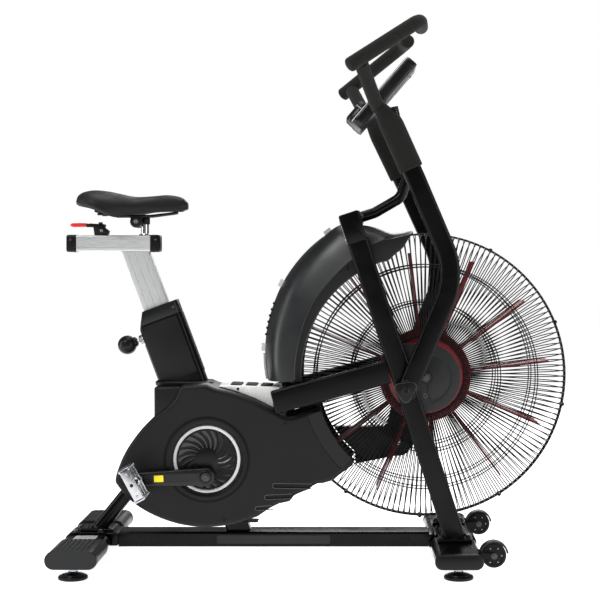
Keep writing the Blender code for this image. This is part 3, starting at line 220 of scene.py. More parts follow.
def leather(name, shade):
    made = principled(name, shade, 0.46, sheen=0.02)
    vary(made, "Roughness", texture(made, "noise", 30, 4), 0.38, 0.56)
    vary(made, "Base Color", texture(made, "noise", 12, 4), shade, tuple(c * 1.35 for c in shade))
    relief(made, (texture(made, "voronoi", 1000), 0.30, 0.0004),
           (texture(made, "noise", 240, 5), 0.22, 0.0007))
    return made


def brushed(name, shade, roughness, stretch):
    """Metal with fine lines: the texture is squeezed along the direction that the brush went."""
    made = principled(name, shade, roughness, metallic=1.0)
    lines = texture(made, "noise", 900, 3, stretch)
    vary(made, "Roughness", lines, roughness - 0.07, roughness + 0.10)
    vary(made, "Base Color", texture(made, "noise", 7, 2), tuple(c * 0.93 for c in shade), shade)
    relief(made, (lines, 0.06, 0.0002))
    return made


def plated(name, shade, roughness):
    made = principled(name, shade, roughness, metallic=1.0)
    vary(made, "Roughness", texture(made, "noise", 160, 3), roughness * 0.75, roughness * 1.35)
    relief(made, (texture(made, "noise", 700), 0.04, 0.0003))
    return made


def speckled(name, shade):
    made = principled(name, shade, 0.42)
    vary(made, "Base Color", texture(made, "noise", 520, 2), tuple(c * 0.62 for c in shade),
         shade, 0.34, 0.47)
    vary(made, "Roughness", texture(made, "noise", 40, 2), 0.38, 0.50)
    relief(made, (texture(made, "noise", 1300, 2), 0.16, 0.0003))
    return made


def gloss(name, shade, roughness):
    made = principled(name, shade, roughness, coat=0.2, specular=0.4)
    vary(made, "Roughness", texture(made, "noise", 60, 3), roughness * 0.85, roughness * 1.25)
    vary(made, "Base Color", texture(made, "noise", 8, 3), shade, tuple(min(c * 1.18, 1) for c in shade))
    relief(made, (texture(made, "noise", 420, 2), 0.04, 0.0003))
    return made


STEEL = powder_coat("black powder coat", (0.0020, 0.0020, 0.0023), 0.22)
WIRE_COAT = powder_coat("black wire coating", (0.0065, 0.0065, 0.0070), 0.40)
PLASTIC = moulded("charcoal plastic", (0.0050, 0.0050, 0.0053), 0.43)
GUARD = moulded("smooth charcoal plastic", (0.0036, 0.0038, 0.0041), 0.28, 0.10, 0.34)
# The guard's rolled wall: its satin finish is its own, its lighter bluish tint is a painted highlight
WIND_PAINTED_HIGHLIGHT = moulded("satin charcoal plastic with painted highlight", (0.0060, 0.0068, 0.0075), 0.33, 0.08, 0.42)
DARK = moulded("black plastic", (0.0030, 0.0030, 0.0033), 0.34)
# A light grey that paints the highlights on the slot lips and round the edges of the pivot caps
PAINTED_HIGHLIGHT_GREY = moulded("painted highlight plastic", (0.0600, 0.0610, 0.0640), 0.40)
PLATE = moulded("grey plastic", (0.0160, 0.0166, 0.0177), 0.40, 0.14)
FOAM = foam_rubber("foam", (0.0082, 0.0080, 0.0076))
LEATHER = leather("saddle cover", (0.0048, 0.0048, 0.0051))
RUBBER = moulded("rubber", (0.0052, 0.0052, 0.0056), 0.62, 0.35)
ALUMINIUM = brushed("anodised post", (0.62, 0.63, 0.63), 0.42, (1, 1, 0.04))
ALUMINIUM_RAIL = brushed("anodised rail", (0.66, 0.67, 0.675), 0.40, (0.04, 1, 1))
CHROME = plated("chrome", (0.78, 0.78, 0.80), 0.12)
ZINC = plated("zinc", (0.46, 0.47, 0.49), 0.28)
SILVER = gloss("silver trim", (0.50, 0.51, 0.515), 0.30)
PEDAL_ALLOY = plated("cast alloy", (0.50, 0.51, 0.53), 0.26)
PALE = speckled("speckled cover", (0.90, 0.90, 0.88))
TRIM = gloss("grey strip", (0.30, 0.31, 0.31), 0.45)
CRIMSON = gloss("crimson blade", (0.200, 0.0050, 0.0100), 0.38)
BRASS = plated("blackened bolt", (0.085, 0.080, 0.072), 0.34)
VANE = gloss("glossy black", (0.010, 0.010, 0.011), 0.24)
RED = gloss("red handle", (0.62, 0.010, 0.012), 0.32)
YELLOW = gloss("yellow label", (0.86, 0.70, 0.01), 0.40)
GLASS = gloss("display window", (0.006, 0.007, 0.008), 0.06)
SCREEN = moulded("display", (0.105, 0.125, 0.110), 0.35, 0.02)


# Mesh helpers
def add_mesh(name, vertices, faces, finish, sharp=38):
    """A smooth mesh object that keeps the edges sharp that turn by more than an angle in degrees."""
    mesh = bpy.data.meshes.new(name)
    mesh.from_pydata([tuple(v) for v in vertices], [], faces)
    work = bmesh.new()
    work.from_mesh(mesh)
    bmesh.ops.remove_doubles(work, verts=work.verts, dist=1e-6)
    bmesh.ops.recalc_face_normals(work, faces=work.faces)
    work.to_mesh(mesh)
    work.free()
    mesh.materials.append(finish)
    mesh.shade_smooth()
    mesh.set_sharp_from_angle(angle=math.radians(sharp))
    made = bpy.data.objects.new(name, mesh)
    bpy.context.scene.collection.objects.link(made)
    return made


def bake(piece, helpers=(), sharp=38):
    """Applies a piece's modifiers and removes the objects that they used."""
    bpy.context.view_layer.update()
    graph = bpy.context.evaluated_depsgraph_get()
    mesh = bpy.data.meshes.new_from_object(piece.evaluated_get(graph))
    piece.modifiers.clear()
    piece.data = mesh
    mesh.shade_smooth()
    mesh.set_sharp_from_angle(angle=math.radians(sharp))
    for helper in helpers:
        bpy.data.objects.remove(helper)
    return piece


def join(name, *pieces):
    """Several meshes as one object, each keeping its own material."""
    first = pieces[0]
    with bpy.context.temp_override(
        active_object=first, object=first, selected_objects=pieces, selected_editable_objects=pieces
    ):
        bpy.ops.object.join()
    first.name = name
    return first


def skin(start, count, rings):
    """Quads between neighbouring rings of `count` vertices, the first vertex being number `start`."""
    faces = []
    for low in range(start, start + (rings - 1) * count, count):
        for j in range(count):
            k = (j + 1) % count
            faces.append((low + j, low + k, low + count + k, low + count + j))
    return faces


def loft(name, rings, finish, sharp=38):
    """A skin over rings of equal length, closed at both ends."""
    count = len(rings[0])
    vertices = [v for ring in rings for v in ring]
    faces = skin(0, count, len(rings))
    faces.append(tuple(range(count)))
    faces.append(tuple(range(len(vertices) - count, len(vertices))))
    return add_mesh(name, vertices, faces, finish, sharp)


def rounded_rect(width, height, radius, steps=5):
    """The outline of a rounded rectangle about its middle."""
    points = []
    for x, y, start in ((1, 1, 0), (-1, 1, 90), (-1, -1, 180), (1, -1, 270)):
        for i in range(steps + 1):
            turn = math.radians(start + 90 * i / steps)
            a = x * (width / 2 - radius) + radius * math.cos(turn)
            b = y * (height / 2 - radius) + radius * math.sin(turn)
            points.append((a, b))
    return points


def grooved(section, cuts):
    """A section with lengthwise grooves in its two tall sides, drawn by (height, depth) points."""
    made = []
    for i, point in enumerate(section):
        made.append(point)
        after = section[(i + 1) % len(section)]
        if abs(point[0] - after[0]) < 1e-6 and abs(point[1] - after[1]) > 0.02:
            way = 1 if point[0] > 0 else -1
            down = 1 if after[1] > point[1] else -1
            for height, depth in cuts:
                made.append((point[0] - way * depth, down * height))
    return made


def circle(radius, steps):
    """Points round a circle."""
    turns = [2 * math.pi * i / steps for i in range(steps)]
    return [(radius * math.cos(t), radius * math.sin(t)) for t in turns]


def rounded_path(points, radius, steps):
    """The points joined by straight runs, each inner corner turned into an arc."""
    points = [Vector(p) for p in points]
    made = [points[0]]
    for before, corner, after in zip(points, points[1:], points[2:]):
        into, out = (corner - before).normalized(), (after - corner).normalized()
        half = into.angle(out) / 2
        start = corner - into * radius * math.tan(half)
        middle = start + (out - into * into.dot(out)).normalized() * radius
        for i in range(steps + 1):
            turn = 2 * half * i / steps
            made.append(middle + (start - middle) * math.cos(turn) + into * radius * math.sin(turn))
    return made + [points[-1]]


def spline(points, steps):
    """A smooth curve through the points, of any dimension."""
    points = [Vector(p) for p in points]
    ends = [points[0] * 2 - points[1]] + points + [points[-1] * 2 - points[-2]]
    made = []
    for a, b, c, d in zip(ends, ends[1:], ends[2:], ends[3:]):
        for i in range(steps):
            t = i / steps
            bend = (a * 2 - b * 5 + c * 4 - d) * t**2
            made.append((b * 2 + (c - a) * t + bend + (b * 3 - a - c * 3 + d) * t**3) / 2)
    return made + [points[-1]]


def stations(path, side):
    """(point, side, up) along a path. The side direction is carried along without twisting."""
    path = [Vector(p) for p in path]
    side = Vector(side).normalized()
    found = []
    for i, point in enumerate(path):
        tangent = (path[min(i + 1, len(path) - 1)] - path[max(i - 1, 0)]).normalized()
        side = (side - tangent * side.dot(tangent)).normalized()
        found.append((point, side, tangent.cross(side)))
    return found


def rings_along(path, section, side=ACROSS):
    """The section repeated at every point of a path, square to the path."""
    return [[p + a * across + b * up for a, b in section] for p, across, up in stations(path, side)]


def flat_stack(middle, section, levels):
    """Rings of a section (x, y) one above the other, at (height, size) levels over a point."""
    return [[middle + Vector((a * size, b * size, height)) for a, b in section] for height, size in levels]


def sweep(name, path, section, finish, side=ACROSS, sharp=38):
    """A section pushed along a path."""
    return loft(name, rings_along(path, section, side), finish, sharp)


def rounded_tube(name, path, radius, finish, steps, dome):
    """A round tube whose ends are domed."""
    found = stations(path, ACROSS)
    smallest = radius * 0.02

    def ring(point, across, up, size):
        return [point + (across * math.cos(t) + up * math.sin(t)) * size
                for t in (2 * math.pi * i / steps for i in range(steps))]

    def cap(station, way):
        point, across, up = station
        out = across.cross(up) * way
        made = []
        for i in range(1, 6):
            turn = i / 5 * math.pi / 2
            shift = out * radius * dome * math.sin(turn)
            made.append(ring(point + shift, across, up, max(radius * math.cos(turn), smallest)))
        return made

    rings = cap(found[0], -1)[::-1]
    rings += [ring(*station, radius) for station in found]
    rings += cap(found[-1], 1)
    return loft(name, rings, finish, 60)


def onto_plane(ring, along, point, normal):
    """The ring slid along a direction until it lies in a plane."""
    return [v + along * ((point - v).dot(normal) / along.dot(normal)) for v in ring]


def arc(middle, radius, start, end, steps):
    """Points (x, z) of an arc, with its angles in degrees from +X towards +Z."""
    turns = [math.radians(start + (end - start) * i / steps) for i in range(steps + 1)]
    return [(middle.x + radius * math.cos(t), middle.z + radius * math.sin(t)) for t in turns]


def hull(a, a_radius, b, b_radius, steps=14):
    """The outline (x, z) round two circles, a behind b."""
    apart = b - a
    heading = math.degrees(math.atan2(apart.z, apart.x))
    open_by = math.degrees(math.asin((a_radius - b_radius) / apart.length))
    top, bottom = heading + 90 - open_by, heading - 90 + open_by
    return arc(a, a_radius, top, bottom + 360, steps) + arc(b, b_radius, bottom, top, steps)


def prism(name, outline, low_y, high_y, finish, bevel=0.0):
    """An outline (x, z) extruded along Y, with softened edges."""
    made = loft(name, [[Vector((x, y, z)) for x, z in outline] for y in (low_y, high_y)], finish)
    return soften(made, bevel) if bevel else made


def soften(piece, width, segments=3):
    """Bevels the edges that turn by more than 40 degrees."""
    modifier = piece.modifiers.new("soften", "BEVEL")
    modifier.width = width
    modifier.segments = segments
    modifier.limit_method = "ANGLE"
    modifier.angle_limit = math.radians(40)
    modifier.harden_normals = False
    return bake(piece)


def cuboid(name, low, high, finish, bevel):
    """A box between two corners, with softened edges."""
    outline = [(low[0], low[2]), (high[0], low[2]), (high[0], high[2]), (low[0], high[2])]
    return prism(name, outline, low[1], high[1], finish, bevel)


def turned(name, profile, middle, axis, finish, steps, ring=False, sharp=38):
    """A profile of (radius, height) turned about an axis. A ring profile closes on itself round a bore."""
    turn = UP.rotation_difference(Vector(axis).normalized()).to_matrix()
    vertices, rows = [], []
    for radius, height in profile:
        count = 1 if radius < 1e-6 else steps
        rows.append([len(vertices) + i for i in range(count)])
        for i in range(count):
            angle = 2 * math.pi * i / steps
            spot = Vector((radius * math.cos(angle), radius * math.sin(angle), height))
            vertices.append(Vector(middle) + turn @ spot)
    faces = []
    pairs = list(zip(rows, rows[1:])) + ([(rows[-1], rows[0])] if ring else [])
    for low, high in pairs:
        for i in range(steps):
            k = (i + 1) % steps
            corners = [low[i % len(low)], low[k % len(low)], high[k % len(high)], high[i % len(high)]]
            face = tuple(dict.fromkeys(corners))
            if len(face) > 2:
                faces.append(face)
    return add_mesh(name, vertices, faces, finish, sharp)


def rod(name, start, end, radius, finish, steps=24, edge=0.0006):
    """A round bar with a small chamfer at both ends."""
    length = (Vector(end) - Vector(start)).length
    edge = min(edge, length / 3, radius / 3)
    profile = [(0, 0), (radius - edge, 0), (radius, edge), (radius, length - edge), (radius - edge, length),
               (0, length)]
    return turned(name, profile, start, Vector(end) - Vector(start), finish, steps)


def torus(name, middle, radius, thickness, finish, axis=ACROSS, steps=120, sides=10):
    profile = [(radius + a, b) for a, b in circle(thickness, sides)]
    return turned(name, profile, middle, axis, finish, steps, ring=True, sharp=80)


def combine(piece, others, operation):
    """A boolean of a piece with others, which are used up."""
    for other in others:
        modifier = piece.modifiers.new("combine", "BOOLEAN")
        modifier.operation = operation
        modifier.solver = "EXACT"
        modifier.object = other
    return bake(piece, others)


def cut(piece, *cutters):
    return combine(piece, cutters, "DIFFERENCE")


def hex_bolt(name, place, axis, across_flats, finish=BRASS, washer=True):
    """A bolt's head on a washer, with its chamfer and its socket."""
    axis = Vector(axis).normalized()
    size = across_flats / 2 / math.cos(math.radians(30))
    height = across_flats * 0.58
    profile = [(0, 0), (size, 0), (size, height * 0.85), (size * 0.90, height), (size * 0.45, height),
               (size * 0.42, height * 0.55), (0, height * 0.55)]
    head = turned(name, profile, place, axis, finish, 6, sharp=20)
    if not washer:
        return head
    flat = [(0, -0.0012), (size * 1.35, -0.0012), (size * 1.4, 0.0), (size * 1.35, 0.0010), (0, 0.0010)]
    return join(name, head, turned(name + "_washer", flat, place, axis, finish, 28))


def screw(name, place, axis, radius, finish=DARK):
    """A domed screw with a hexagonal socket."""
    profile = [(0, -0.002), (radius, -0.002), (radius, 0.0004), (radius * 0.93, radius * 0.22),
               (radius * 0.70, radius * 0.42), (radius * 0.50, radius * 0.48), (radius * 0.46, 0.0002),
               (0, 0.0)]
    return turned(name, profile, place, axis, finish, 18)


def show(piece, body, slot, *replaced):
    """Puts a finished piece on its body and hides the CAD nodes that it replaces. The slot argument is not
    used.
    """
    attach(piece, body)
    if replaced:
        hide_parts(*replaced)
    return piece


# Camera, light and floor
def studio():
    """The camera at the bike's right side, six soft lights and the floor."""
    data = bpy.data.cameras.new("camera")
    data.lens, data.shift_x, data.shift_y = 85.5, -0.085, -0.0667
    camera = bpy.data.objects.new("camera", data)
    camera.location = (0.0916, -3.8, 0.792)
    camera.rotation_euler = (math.radians(90), 0, 0)
    bpy.context.scene.collection.objects.link(camera)
    bpy.context.scene.camera = camera
    bpy.context.scene.view_settings.view_transform = "Standard"
    white_world(0.15)
    area_light("key", (-2.0, -2.8, 3.4), (0, 0, 0.6), 1.6, 72)
    area_light("fill", (2.9, -3.0, 1.5), (0.1, 0, 0.6), 2.2, 34)
    area_light("top", (0.0, 0.2, 3.9), (0, 0, 0.5), 2.8, 80)
    area_light("left strip", (-3.4, -0.5, 1.1), (0, 0, 0.7), 0.6, 34, 2.4)
    area_light("right strip", (3.4, -0.5, 1.1), (0, 0, 0.7), 0.6, 34, 2.4)
    area_light("back", (0.6, 3.6, 2.6), (0, 0, 0.7), 2.6, 60)
    floor = add_mesh("floor", [(-9, -9, 0), (9, -9, 0), (9, 9, 0), (-9, 9, 0)], [(0, 1, 2, 3)], FLOOR)
    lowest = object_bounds()[0][2]
    floor.location.z = lowest - 0.0005
    floor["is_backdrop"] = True


def white_world(strength):
    """White to the camera, and a weaker light on the object."""
    world = bpy.data.worlds.new("studio")
    world.use_nodes = True
    bpy.context.scene.world = world
    tree = world.node_tree
    behind = tree.nodes["Background"]
    behind.inputs["Color"].default_value = (1, 1, 1, 1)
    behind.inputs["Strength"].default_value = 1.0
    around = tree.nodes.new("ShaderNodeBackground")
    around.inputs["Strength"].default_value = strength
    around.inputs["Color"].default_value = (1, 1, 1, 1)
    rays = tree.nodes.new("ShaderNodeLightPath")
    choose = tree.nodes.new("ShaderNodeMixShader")
    tree.links.new(rays.outputs["Is Camera Ray"], choose.inputs["Fac"])
    tree.links.new(around.outputs["Background"], choose.inputs[1])
    tree.links.new(behind.outputs["Background"], choose.inputs[2])
    tree.links.new(choose.outputs["Shader"], tree.nodes["World Output"].inputs["Surface"])


def area_light(name, place, target, size, watts, height=None):
    """A soft light: square, or a strip of the given height."""
    data = bpy.data.lights.new(name, "AREA")
    data.size = size
    if height:
        data.shape = "RECTANGLE"
        data.size_y = height
    data.energy = watts
    light = bpy.data.objects.new(name, data)
    light.location = place
    light.rotation_euler = (Vector(target) - Vector(place)).to_track_quat("-Z", "Y").to_euler()
    bpy.context.scene.collection.objects.link(light)


def floor_finish():
    """A pale floor that glows a little, so that it stays near white."""
    made = principled("pale floor", (0.93, 0.93, 0.93), 0.7)
    vary(made, "Roughness", texture(made, "noise", 3), 0.65, 0.8)
    shader = made.node_tree.nodes["Principled BSDF"]
    shader.inputs["Emission Color"].default_value = (1, 1, 1, 1)
    shader.inputs["Emission Strength"].default_value = 0.85
    return made


FLOOR = floor_finish()


# Fan cage
CAGE_WIRES = 156
CAGE_WIRE_R = 0.0014
CAGE_R = 0.3750
# radius, distance from the middle plane, wire radius
CAGE_RINGS = ((0.1035, 0.0500, 0.0024), (0.1890, 0.0710, 0.0014), (0.1965, 0.0710, 0.0014),
              (0.2865, 0.0710, 0.0014), (0.2935, 0.0710, 0.0014), (0.3735, 0.0070, 0.0026))
# the line of one wire, as (distance from the axis, distance from the middle plane)
CAGE_LINE = ((0.1035, 0.0505), (0.1150, 0.0560), (0.1290, 0.0655), (0.1450, 0.0722), (0.1640, 0.0735),
             (0.2400, 0.0735), (0.3180, 0.0733), (0.3370, 0.0700), (0.3530, 0.0600), (0.3650, 0.0420),
             (0.3720, 0.0220), (0.3738, 0.0080))


def cage_wires(word, side):
    """Every radial wire of one half, bent from the mouth out to the rim."""
    line = spline([(r, y, 0) for r, y in CAGE_LINE], 2)
    sides = 6
    vertices, faces = [], []
    for i in range(CAGE_WIRES):
        out = outward(2 * math.pi * (i + (0.5 if side > 0 else 0)) / CAGE_WIRES)
        path = [FAN + out * p.x + ACROSS * side * p.y for p in line]
        base = len(vertices)
        for point, across, up in stations(path, out.cross(ACROSS)):
            for k in range(sides):
                turn = 2 * math.pi * k / sides
                vertices.append(point + (across * math.cos(turn) + up * math.sin(turn)) * CAGE_WIRE_R)
        faces += skin(base, sides, len(path))
        faces.append(tuple(range(base, base + sides)))
        faces.append(tuple(range(len(vertices) - sides, len(vertices))))
    return add_mesh("cage_wires_" + word, vertices, faces, WIRE_COAT, 80)


def cage_half(word, side):
    """One half of the cage: wires, rings, the clips on its rim and the blocks that hold it."""
    pieces = [cage_wires(word, side)]
    for radius, y, thick in CAGE_RINGS:
        pieces.append(torus("ring", at_y(FAN, side * y), radius, thick, WIRE_COAT))
    low, high = span(side, 0.0008, 0.0135)
    for turn in (-58, -12, 22, 62, 200, 236, 268):
        spot = FAN + outward(math.radians(turn)) * 0.3745
        pieces.append(rod("clip", at_y(spot, low), at_y(spot, high), 0.0052, DARK, 14, 0.0015))
        pieces.append(screw("clip_screw", at_y(spot, side * 0.0135), ACROSS * side, 0.0030))
    pieces += cage_blocks(side)
    show(join("fan_cage_" + word, *pieces), "frame", "frame_steel", "cage_" + word)


def cage_blocks(side):
    """The blocks that hold the support rings to the upright and to the side tube."""
    made = []
    for ring in (0.190, 0.290):
        for way in (1, -1):
            made.append(block_at(meeting(UPRIGHT_FOOT, UPRIGHT_UP, ring, way), UPRIGHT_UP, side))
        made.append(block_at(meeting(SIDE_REAR, SIDE_ALONG, ring, -1), SIDE_ALONG, side))
    return made


def meeting(start, along, radius, way):
    """Where a straight tube's middle line crosses a ring of the cage."""
    offset = start - FAN
    b = offset.dot(along)
    root = math.sqrt(b * b - offset.length_squared + radius * radius)
    return start + along * (-b + way * root)


def block_at(spot, along, side):
    across = Vector((along.z, 0, -along.x))
    corners = [spot + along * a + across * b for a, b in rounded_rect(0.034, 0.022, 0.005)]
    return prism("ring_block", side_view(corners), *span(side, 0.0722, 0.1050), DARK, 0.0012)


# Fan wheel
BLADES = 12
DISC_RIBS = 120
HUB_BORE = 0.0086
# distance from the axis, half width
BLADE_SHAPE = ((0.092, 0.0405), (0.140, 0.0410), (0.149, 0.0440), (0.156, 0.0530), (0.163, 0.0560),
               (0.3262, 0.0560))


def blade(i):
    """A pressed blade with a folded edge and a stiffening bead."""
    angle = math.radians(7 + 360 / BLADES * i)
    out, off = outward(angle), onward(angle)
    rings = []
    for r, half in BLADE_SHAPE:
        section = [(-half, -0.0007), (-half, 0.0030), (-half + 0.0012, 0.0030), (-half + 0.0014, 0.0008),
                   (-0.0120, 0.0008), (-0.0060, 0.0034), (0.0060, 0.0034), (0.0120, 0.0008),
                   (half - 0.0014, 0.0008), (half - 0.0012, 0.0030), (half, 0.0030), (half, -0.0007),
                   (0.0120, -0.0007), (0.0060, 0.0019), (-0.0060, 0.0019), (-0.0120, -0.0007)]
        rings.append([FAN + out * r + ACROSS * y + off * h for y, h in section])
    return loft("blade", rings, CRIMSON, 30)


def disc_ribs(side):
    """Fine raised ribs round the rim of a disc."""
    vertices, faces = [], []
    for i in range(DISC_RIBS):
        turn = 2 * math.pi * i / DISC_RIBS
        out, wide = outward(turn), onward(turn) * 0.0009
        base = len(vertices)
        for r, y in ((0.0900, 0.0426), (0.0900, 0.0440), (0.1202, 0.0430), (0.1202, 0.0405)):
            vertices += [FAN + out * r + wide * w + ACROSS * side * y for w in (-1, 1)]
        for a, b in ((0, 1), (1, 2), (2, 3), (3, 0)):
            faces.append((base + 2 * a, base + 2 * a + 1, base + 2 * b + 1, base + 2 * b))
        faces.append(tuple(base + 2 * k for k in range(4)))
        faces.append(tuple(base + 2 * k + 1 for k in range(4)))
    return add_mesh("disc_ribs", vertices, faces, CRIMSON, 30)


def fan():
    """The wheel: blades, a disc with bolts and a hub at each side, the barrel and its belt pulley."""
    pieces = [blade(i) for i in range(BLADES)]
    disc = [(0.0200, 0.0428), (0.0560, 0.0428), (0.0600, 0.0448), (0.0680, 0.0448), (0.0720, 0.0428),
            (0.1150, 0.0428), (0.1210, 0.0412), (0.1210, 0.0400), (0.0200, 0.0400)]
    hub = [(HUB_BORE, 0.0400), (HUB_BORE, 0.0490), (0.0190, 0.0490), (0.0205, 0.0478), (0.0205, 0.0400)]
    for side in (-1, 1):
        pieces.append(turned("disc", disc, FAN, ACROSS * side, CRIMSON, 72, ring=True))
        pieces.append(disc_ribs(side))
        pieces.append(turned("hub", hub, FAN, ACROSS * side, ZINC, 40, ring=True))
        for i in range(6):
            spot = FAN + outward(math.radians(60 * i + 12)) * 0.064 + ACROSS * side * 0.0450
            pieces.append(hex_bolt("disc_bolt", spot, ACROSS * side, 0.008))
    barrel = [(HUB_BORE, -0.0400), (0.0400, -0.0400), (0.0400, 0.0400), (HUB_BORE, 0.0400)]
    pieces.append(turned("barrel", barrel, FAN, ACROSS, CRIMSON, 48, ring=True))
    pulley = [(HUB_BORE, 0.0495), (0.0155, 0.0495), (0.0155, 0.0904), (0.0166, 0.0906), (0.0166, 0.0912),
              (0.0178, 0.0915), (0.0178, 0.0975), (HUB_BORE, 0.0975)]
    pieces.append(turned("pulley", pulley, FAN, ACROSS, DARK, 48, ring=True))
    show(join("fan_rotor", *pieces), "fan", "red_plastic", "fan_wheel")


def right_hub_plate():
    """The right-hand plate over the fan's hub, with a blank recessed panel, a hexagonal bolt and a hole."""
    outline = arc(FAN, 0.0885, -112, 100, 40)
    rear = [UPRIGHT_FOOT + UPRIGHT_UP * ((z - UPRIGHT_FOOT.z) / UPRIGHT_UP.z) for z in (0.575, 0.405)]
    outline += [(p.x - 0.010, p.z) for p in rear]
    plate = prism("hub_cover", outline, -0.1055, -0.0990, PLATE, 0.0008)
    panel = arc(FAN, 0.066, -78, 66, 24)
    panel += [(FAN.x + 0.004, FAN.z + 0.058), (FAN.x - 0.001, FAN.z - 0.046)]
    plate = cut(plate, prism("panel", panel, -0.1070, -0.1043, DARK))
    inner = [(FAN.x + (x - FAN.x) * 0.88 + 0.003, FAN.z + (z - FAN.z) * 0.88) for x, z in panel]
    pieces = [plate, prism("panel_face", inner, -0.1053, -0.1035, PLATE, 0.0004)]
    bolt_place = at_y(FAN, -0.1056) + Vector((0.002, 0, -0.001))
    pieces.append(hex_bolt("hub_bolt", bolt_place, -ACROSS, 0.018, DARK))
    rim = [(0.0035, 0), (0.0062, 0), (0.0062, 0.0008), (0.0035, 0.0008)]
    rim_place = (0.285, -0.1053, 0.440)
    pieces.append(turned("hole_rim", rim, rim_place, -ACROSS, BRASS, 24, ring=True))
    show(join("hub_cover_right", *pieces), "frame", "moulded_plastic", "hub_plate_right")


# Wind guard
WIND_TABLE = (
    # angle, inner edge, crease, outer edge, crown of the middle
    (182.0, 0.3235, 0.3420, 0.4070, 0.010),
    (175.0, 0.3240, 0.3430, 0.4125, 0.013),
    (164.0, 0.3245, 0.3450, 0.4215, 0.015),
    (155.0, 0.3245, 0.3490, 0.4285, 0.015),
    (146.0, 0.3245, 0.3520, 0.4360, 0.014),
    (135.0, 0.3240, 0.3545, 0.4445, 0.010),
    (126.0, 0.3235, 0.3600, 0.4520, 0.004),
    (120.0, 0.3230, 0.3640, 0.4566, 0.0),
    (115.5, 0.3220, 0.3700, 0.4385, 0.0),
    (111.9, 0.3210, 0.3740, 0.4270, 0.0),
    (108.0, 0.3190, 0.3740, 0.4095, 0.0),
    (104.0, 0.3300, 0.3720, 0.3890, 0.0),
    (100.2, 0.3420, 0.3720, 0.3840, 0.0),
    (97.0, 0.3640, 0.3740, 0.3835, 0.0),
    (95.2, 0.3760, 0.3785, 0.3825, 0.0),
)
WIND_HALF = 0.098


def wind_rows():
    """The guard's measures every degree or so, as smooth curves through the table."""
    first = spline([(a / 100, b, c) for a, b, c, _, _ in WIND_TABLE], 7)
    second = spline([(a / 100, d, e) for a, _, _, d, e in WIND_TABLE], 7)
    return [(p.x * 100, p.y, p.z, q.y, q.z) for p, q in zip(first, second)]


def wind_section(inner, crease, outer, crown):
    """The guard's outside at one angle, as (distance from the fan's axis, y) points."""
    line = [(inner, 0.0840), (inner, 0.0950), (inner + 0.0008, 0.0972), (inner + 0.0030, WIND_HALF)]
    line += [(crease - 0.0010, WIND_HALF), (crease, WIND_HALF - 0.0008),
             (crease + 0.0003, WIND_HALF - 0.0022)]
    for i in range(1, 17):
        t = i / 16
        reach = min(t * 1.06 - 0.06 * t * t, 1.0)
        drop = 0.0300 * t + 0.0210 * t**5
        line.append((crease + (outer - crease) * reach, WIND_HALF - 0.0022 - drop))
    return line + [(outer + crown * 0.55, 0.0260), (outer + crown * 0.90, 0.0120), (outer + crown, 0.0002)]


def wind_guard(word, side):
    """One half: a flat side by the cage, a crease, and a wall that rolls over to the middle of the bike."""
    rings = []
    for turn, *measures in wind_rows():
        out = outward(math.radians(turn))
        outside = wind_section(*measures)
        section = outside + wall_inside(outside, 0.0026)[::-1]
        rings.append([FAN + out * r + ACROSS * side * y for r, y in section])
    shell = loft("wind_shell_" + word, rings, WIND_PAINTED_HIGHLIGHT, 32)
    # the flat side keeps the plain charcoal plastic, a little darker than the rolled wall's painted
    # highlight tint
    shell.data.materials.append(PLASTIC)
    for face in shell.data.polygons:
        if abs(face.normal.y) > 0.99 and face.center.y * side > 0.0970:
            face.material_index = 1
    head = [HEAD + UPRIGHT_FORE * a + UPRIGHT_UP * b for a, b in rounded_rect(0.0552, 0.0812, 0.006)]
    hole_x = 0.172
    hole = [Vector((hole_x, 0, 0.845)) + UPRIGHT_UP * a + UPRIGHT_FORE * b for a, b in circle(0.0080, 28)]
    oval = [(hole_x + (p.x - hole_x) * 1.3, p.z) for p in hole]
    cut(shell, prism("notch", side_view(head), -0.142, 0.142, GUARD),
        prism("oval", oval, *span(side, 0.0966, 0.12), GUARD))
    pieces = [shell]
    for x, z in ((0.081, 0.770), (-0.057, 0.474)):
        pieces.append(screw("guard_screw", (x, side * WIND_HALF, z), ACROSS * side, 0.0052))
    show(join("wind_guard_" + word + "_shell", *pieces), "frame", "moulded_plastic", "wind_guard_" + word)


def wall_inside(line, wall):
    """The line moved in by the wall's thickness, towards the fan."""
    moved = []
    for i, (r, y) in enumerate(line):
        before, after = line[max(i - 1, 0)], line[min(i + 1, len(line) - 1)]
        along = Vector((after[0] - before[0], after[1] - before[1])).normalized()
        moved.append((r + along.y * wall, y - along.x * wall))
    moved[0] = (line[0][0] + wall, line[0][1])
    moved[-1] = (line[-1][0] - wall, line[-1][1])
    return moved


def wind_trim():
    """Light strips and dark ribs down the middle of the guard's back."""
    tables = wind_rows()
    steps = 14

    def strip(name, start, end, half, raise_by, finish):
        rings = []
        for i in range(steps + 1):
            turn = start + (end - start) * i / steps
            row = min(tables, key=lambda r: abs(r[0] - turn))
            top = row[3] + row[4]
            section = [(top - 0.002, -half), (top + raise_by, -half + 0.001),
                       (top + raise_by, half - 0.001), (top - 0.002, half)]
            out = outward(math.radians(turn))
            rings.append([FAN + out * r + ACROSS * y for r, y in section])
        return loft(name, rings, finish)

    pieces = [strip("strip", 181.5, 172.5, 0.012, 0.0040, TRIM)]
    for turn in (171.6, 148.7, 125.4):
        pieces.append(strip("tab", turn, turn - 2.6, 0.010, 0.0090, SILVER))
    for i in range(6):
        turn = 166.0 - i * 2.2
        pieces.append(strip("rib", turn, turn - 0.7, 0.016, 0.0022, DARK))
    show(join("wind_guard_trim", *pieces), "frame", "pale_plastic")


# Crank shroud
SHROUD_HALF = 0.096
CHEEK_R = 0.285
RECESS = Vector((-0.283, 0, 0.274))
AXLE_HOLE = 0.0140
VANES = 20
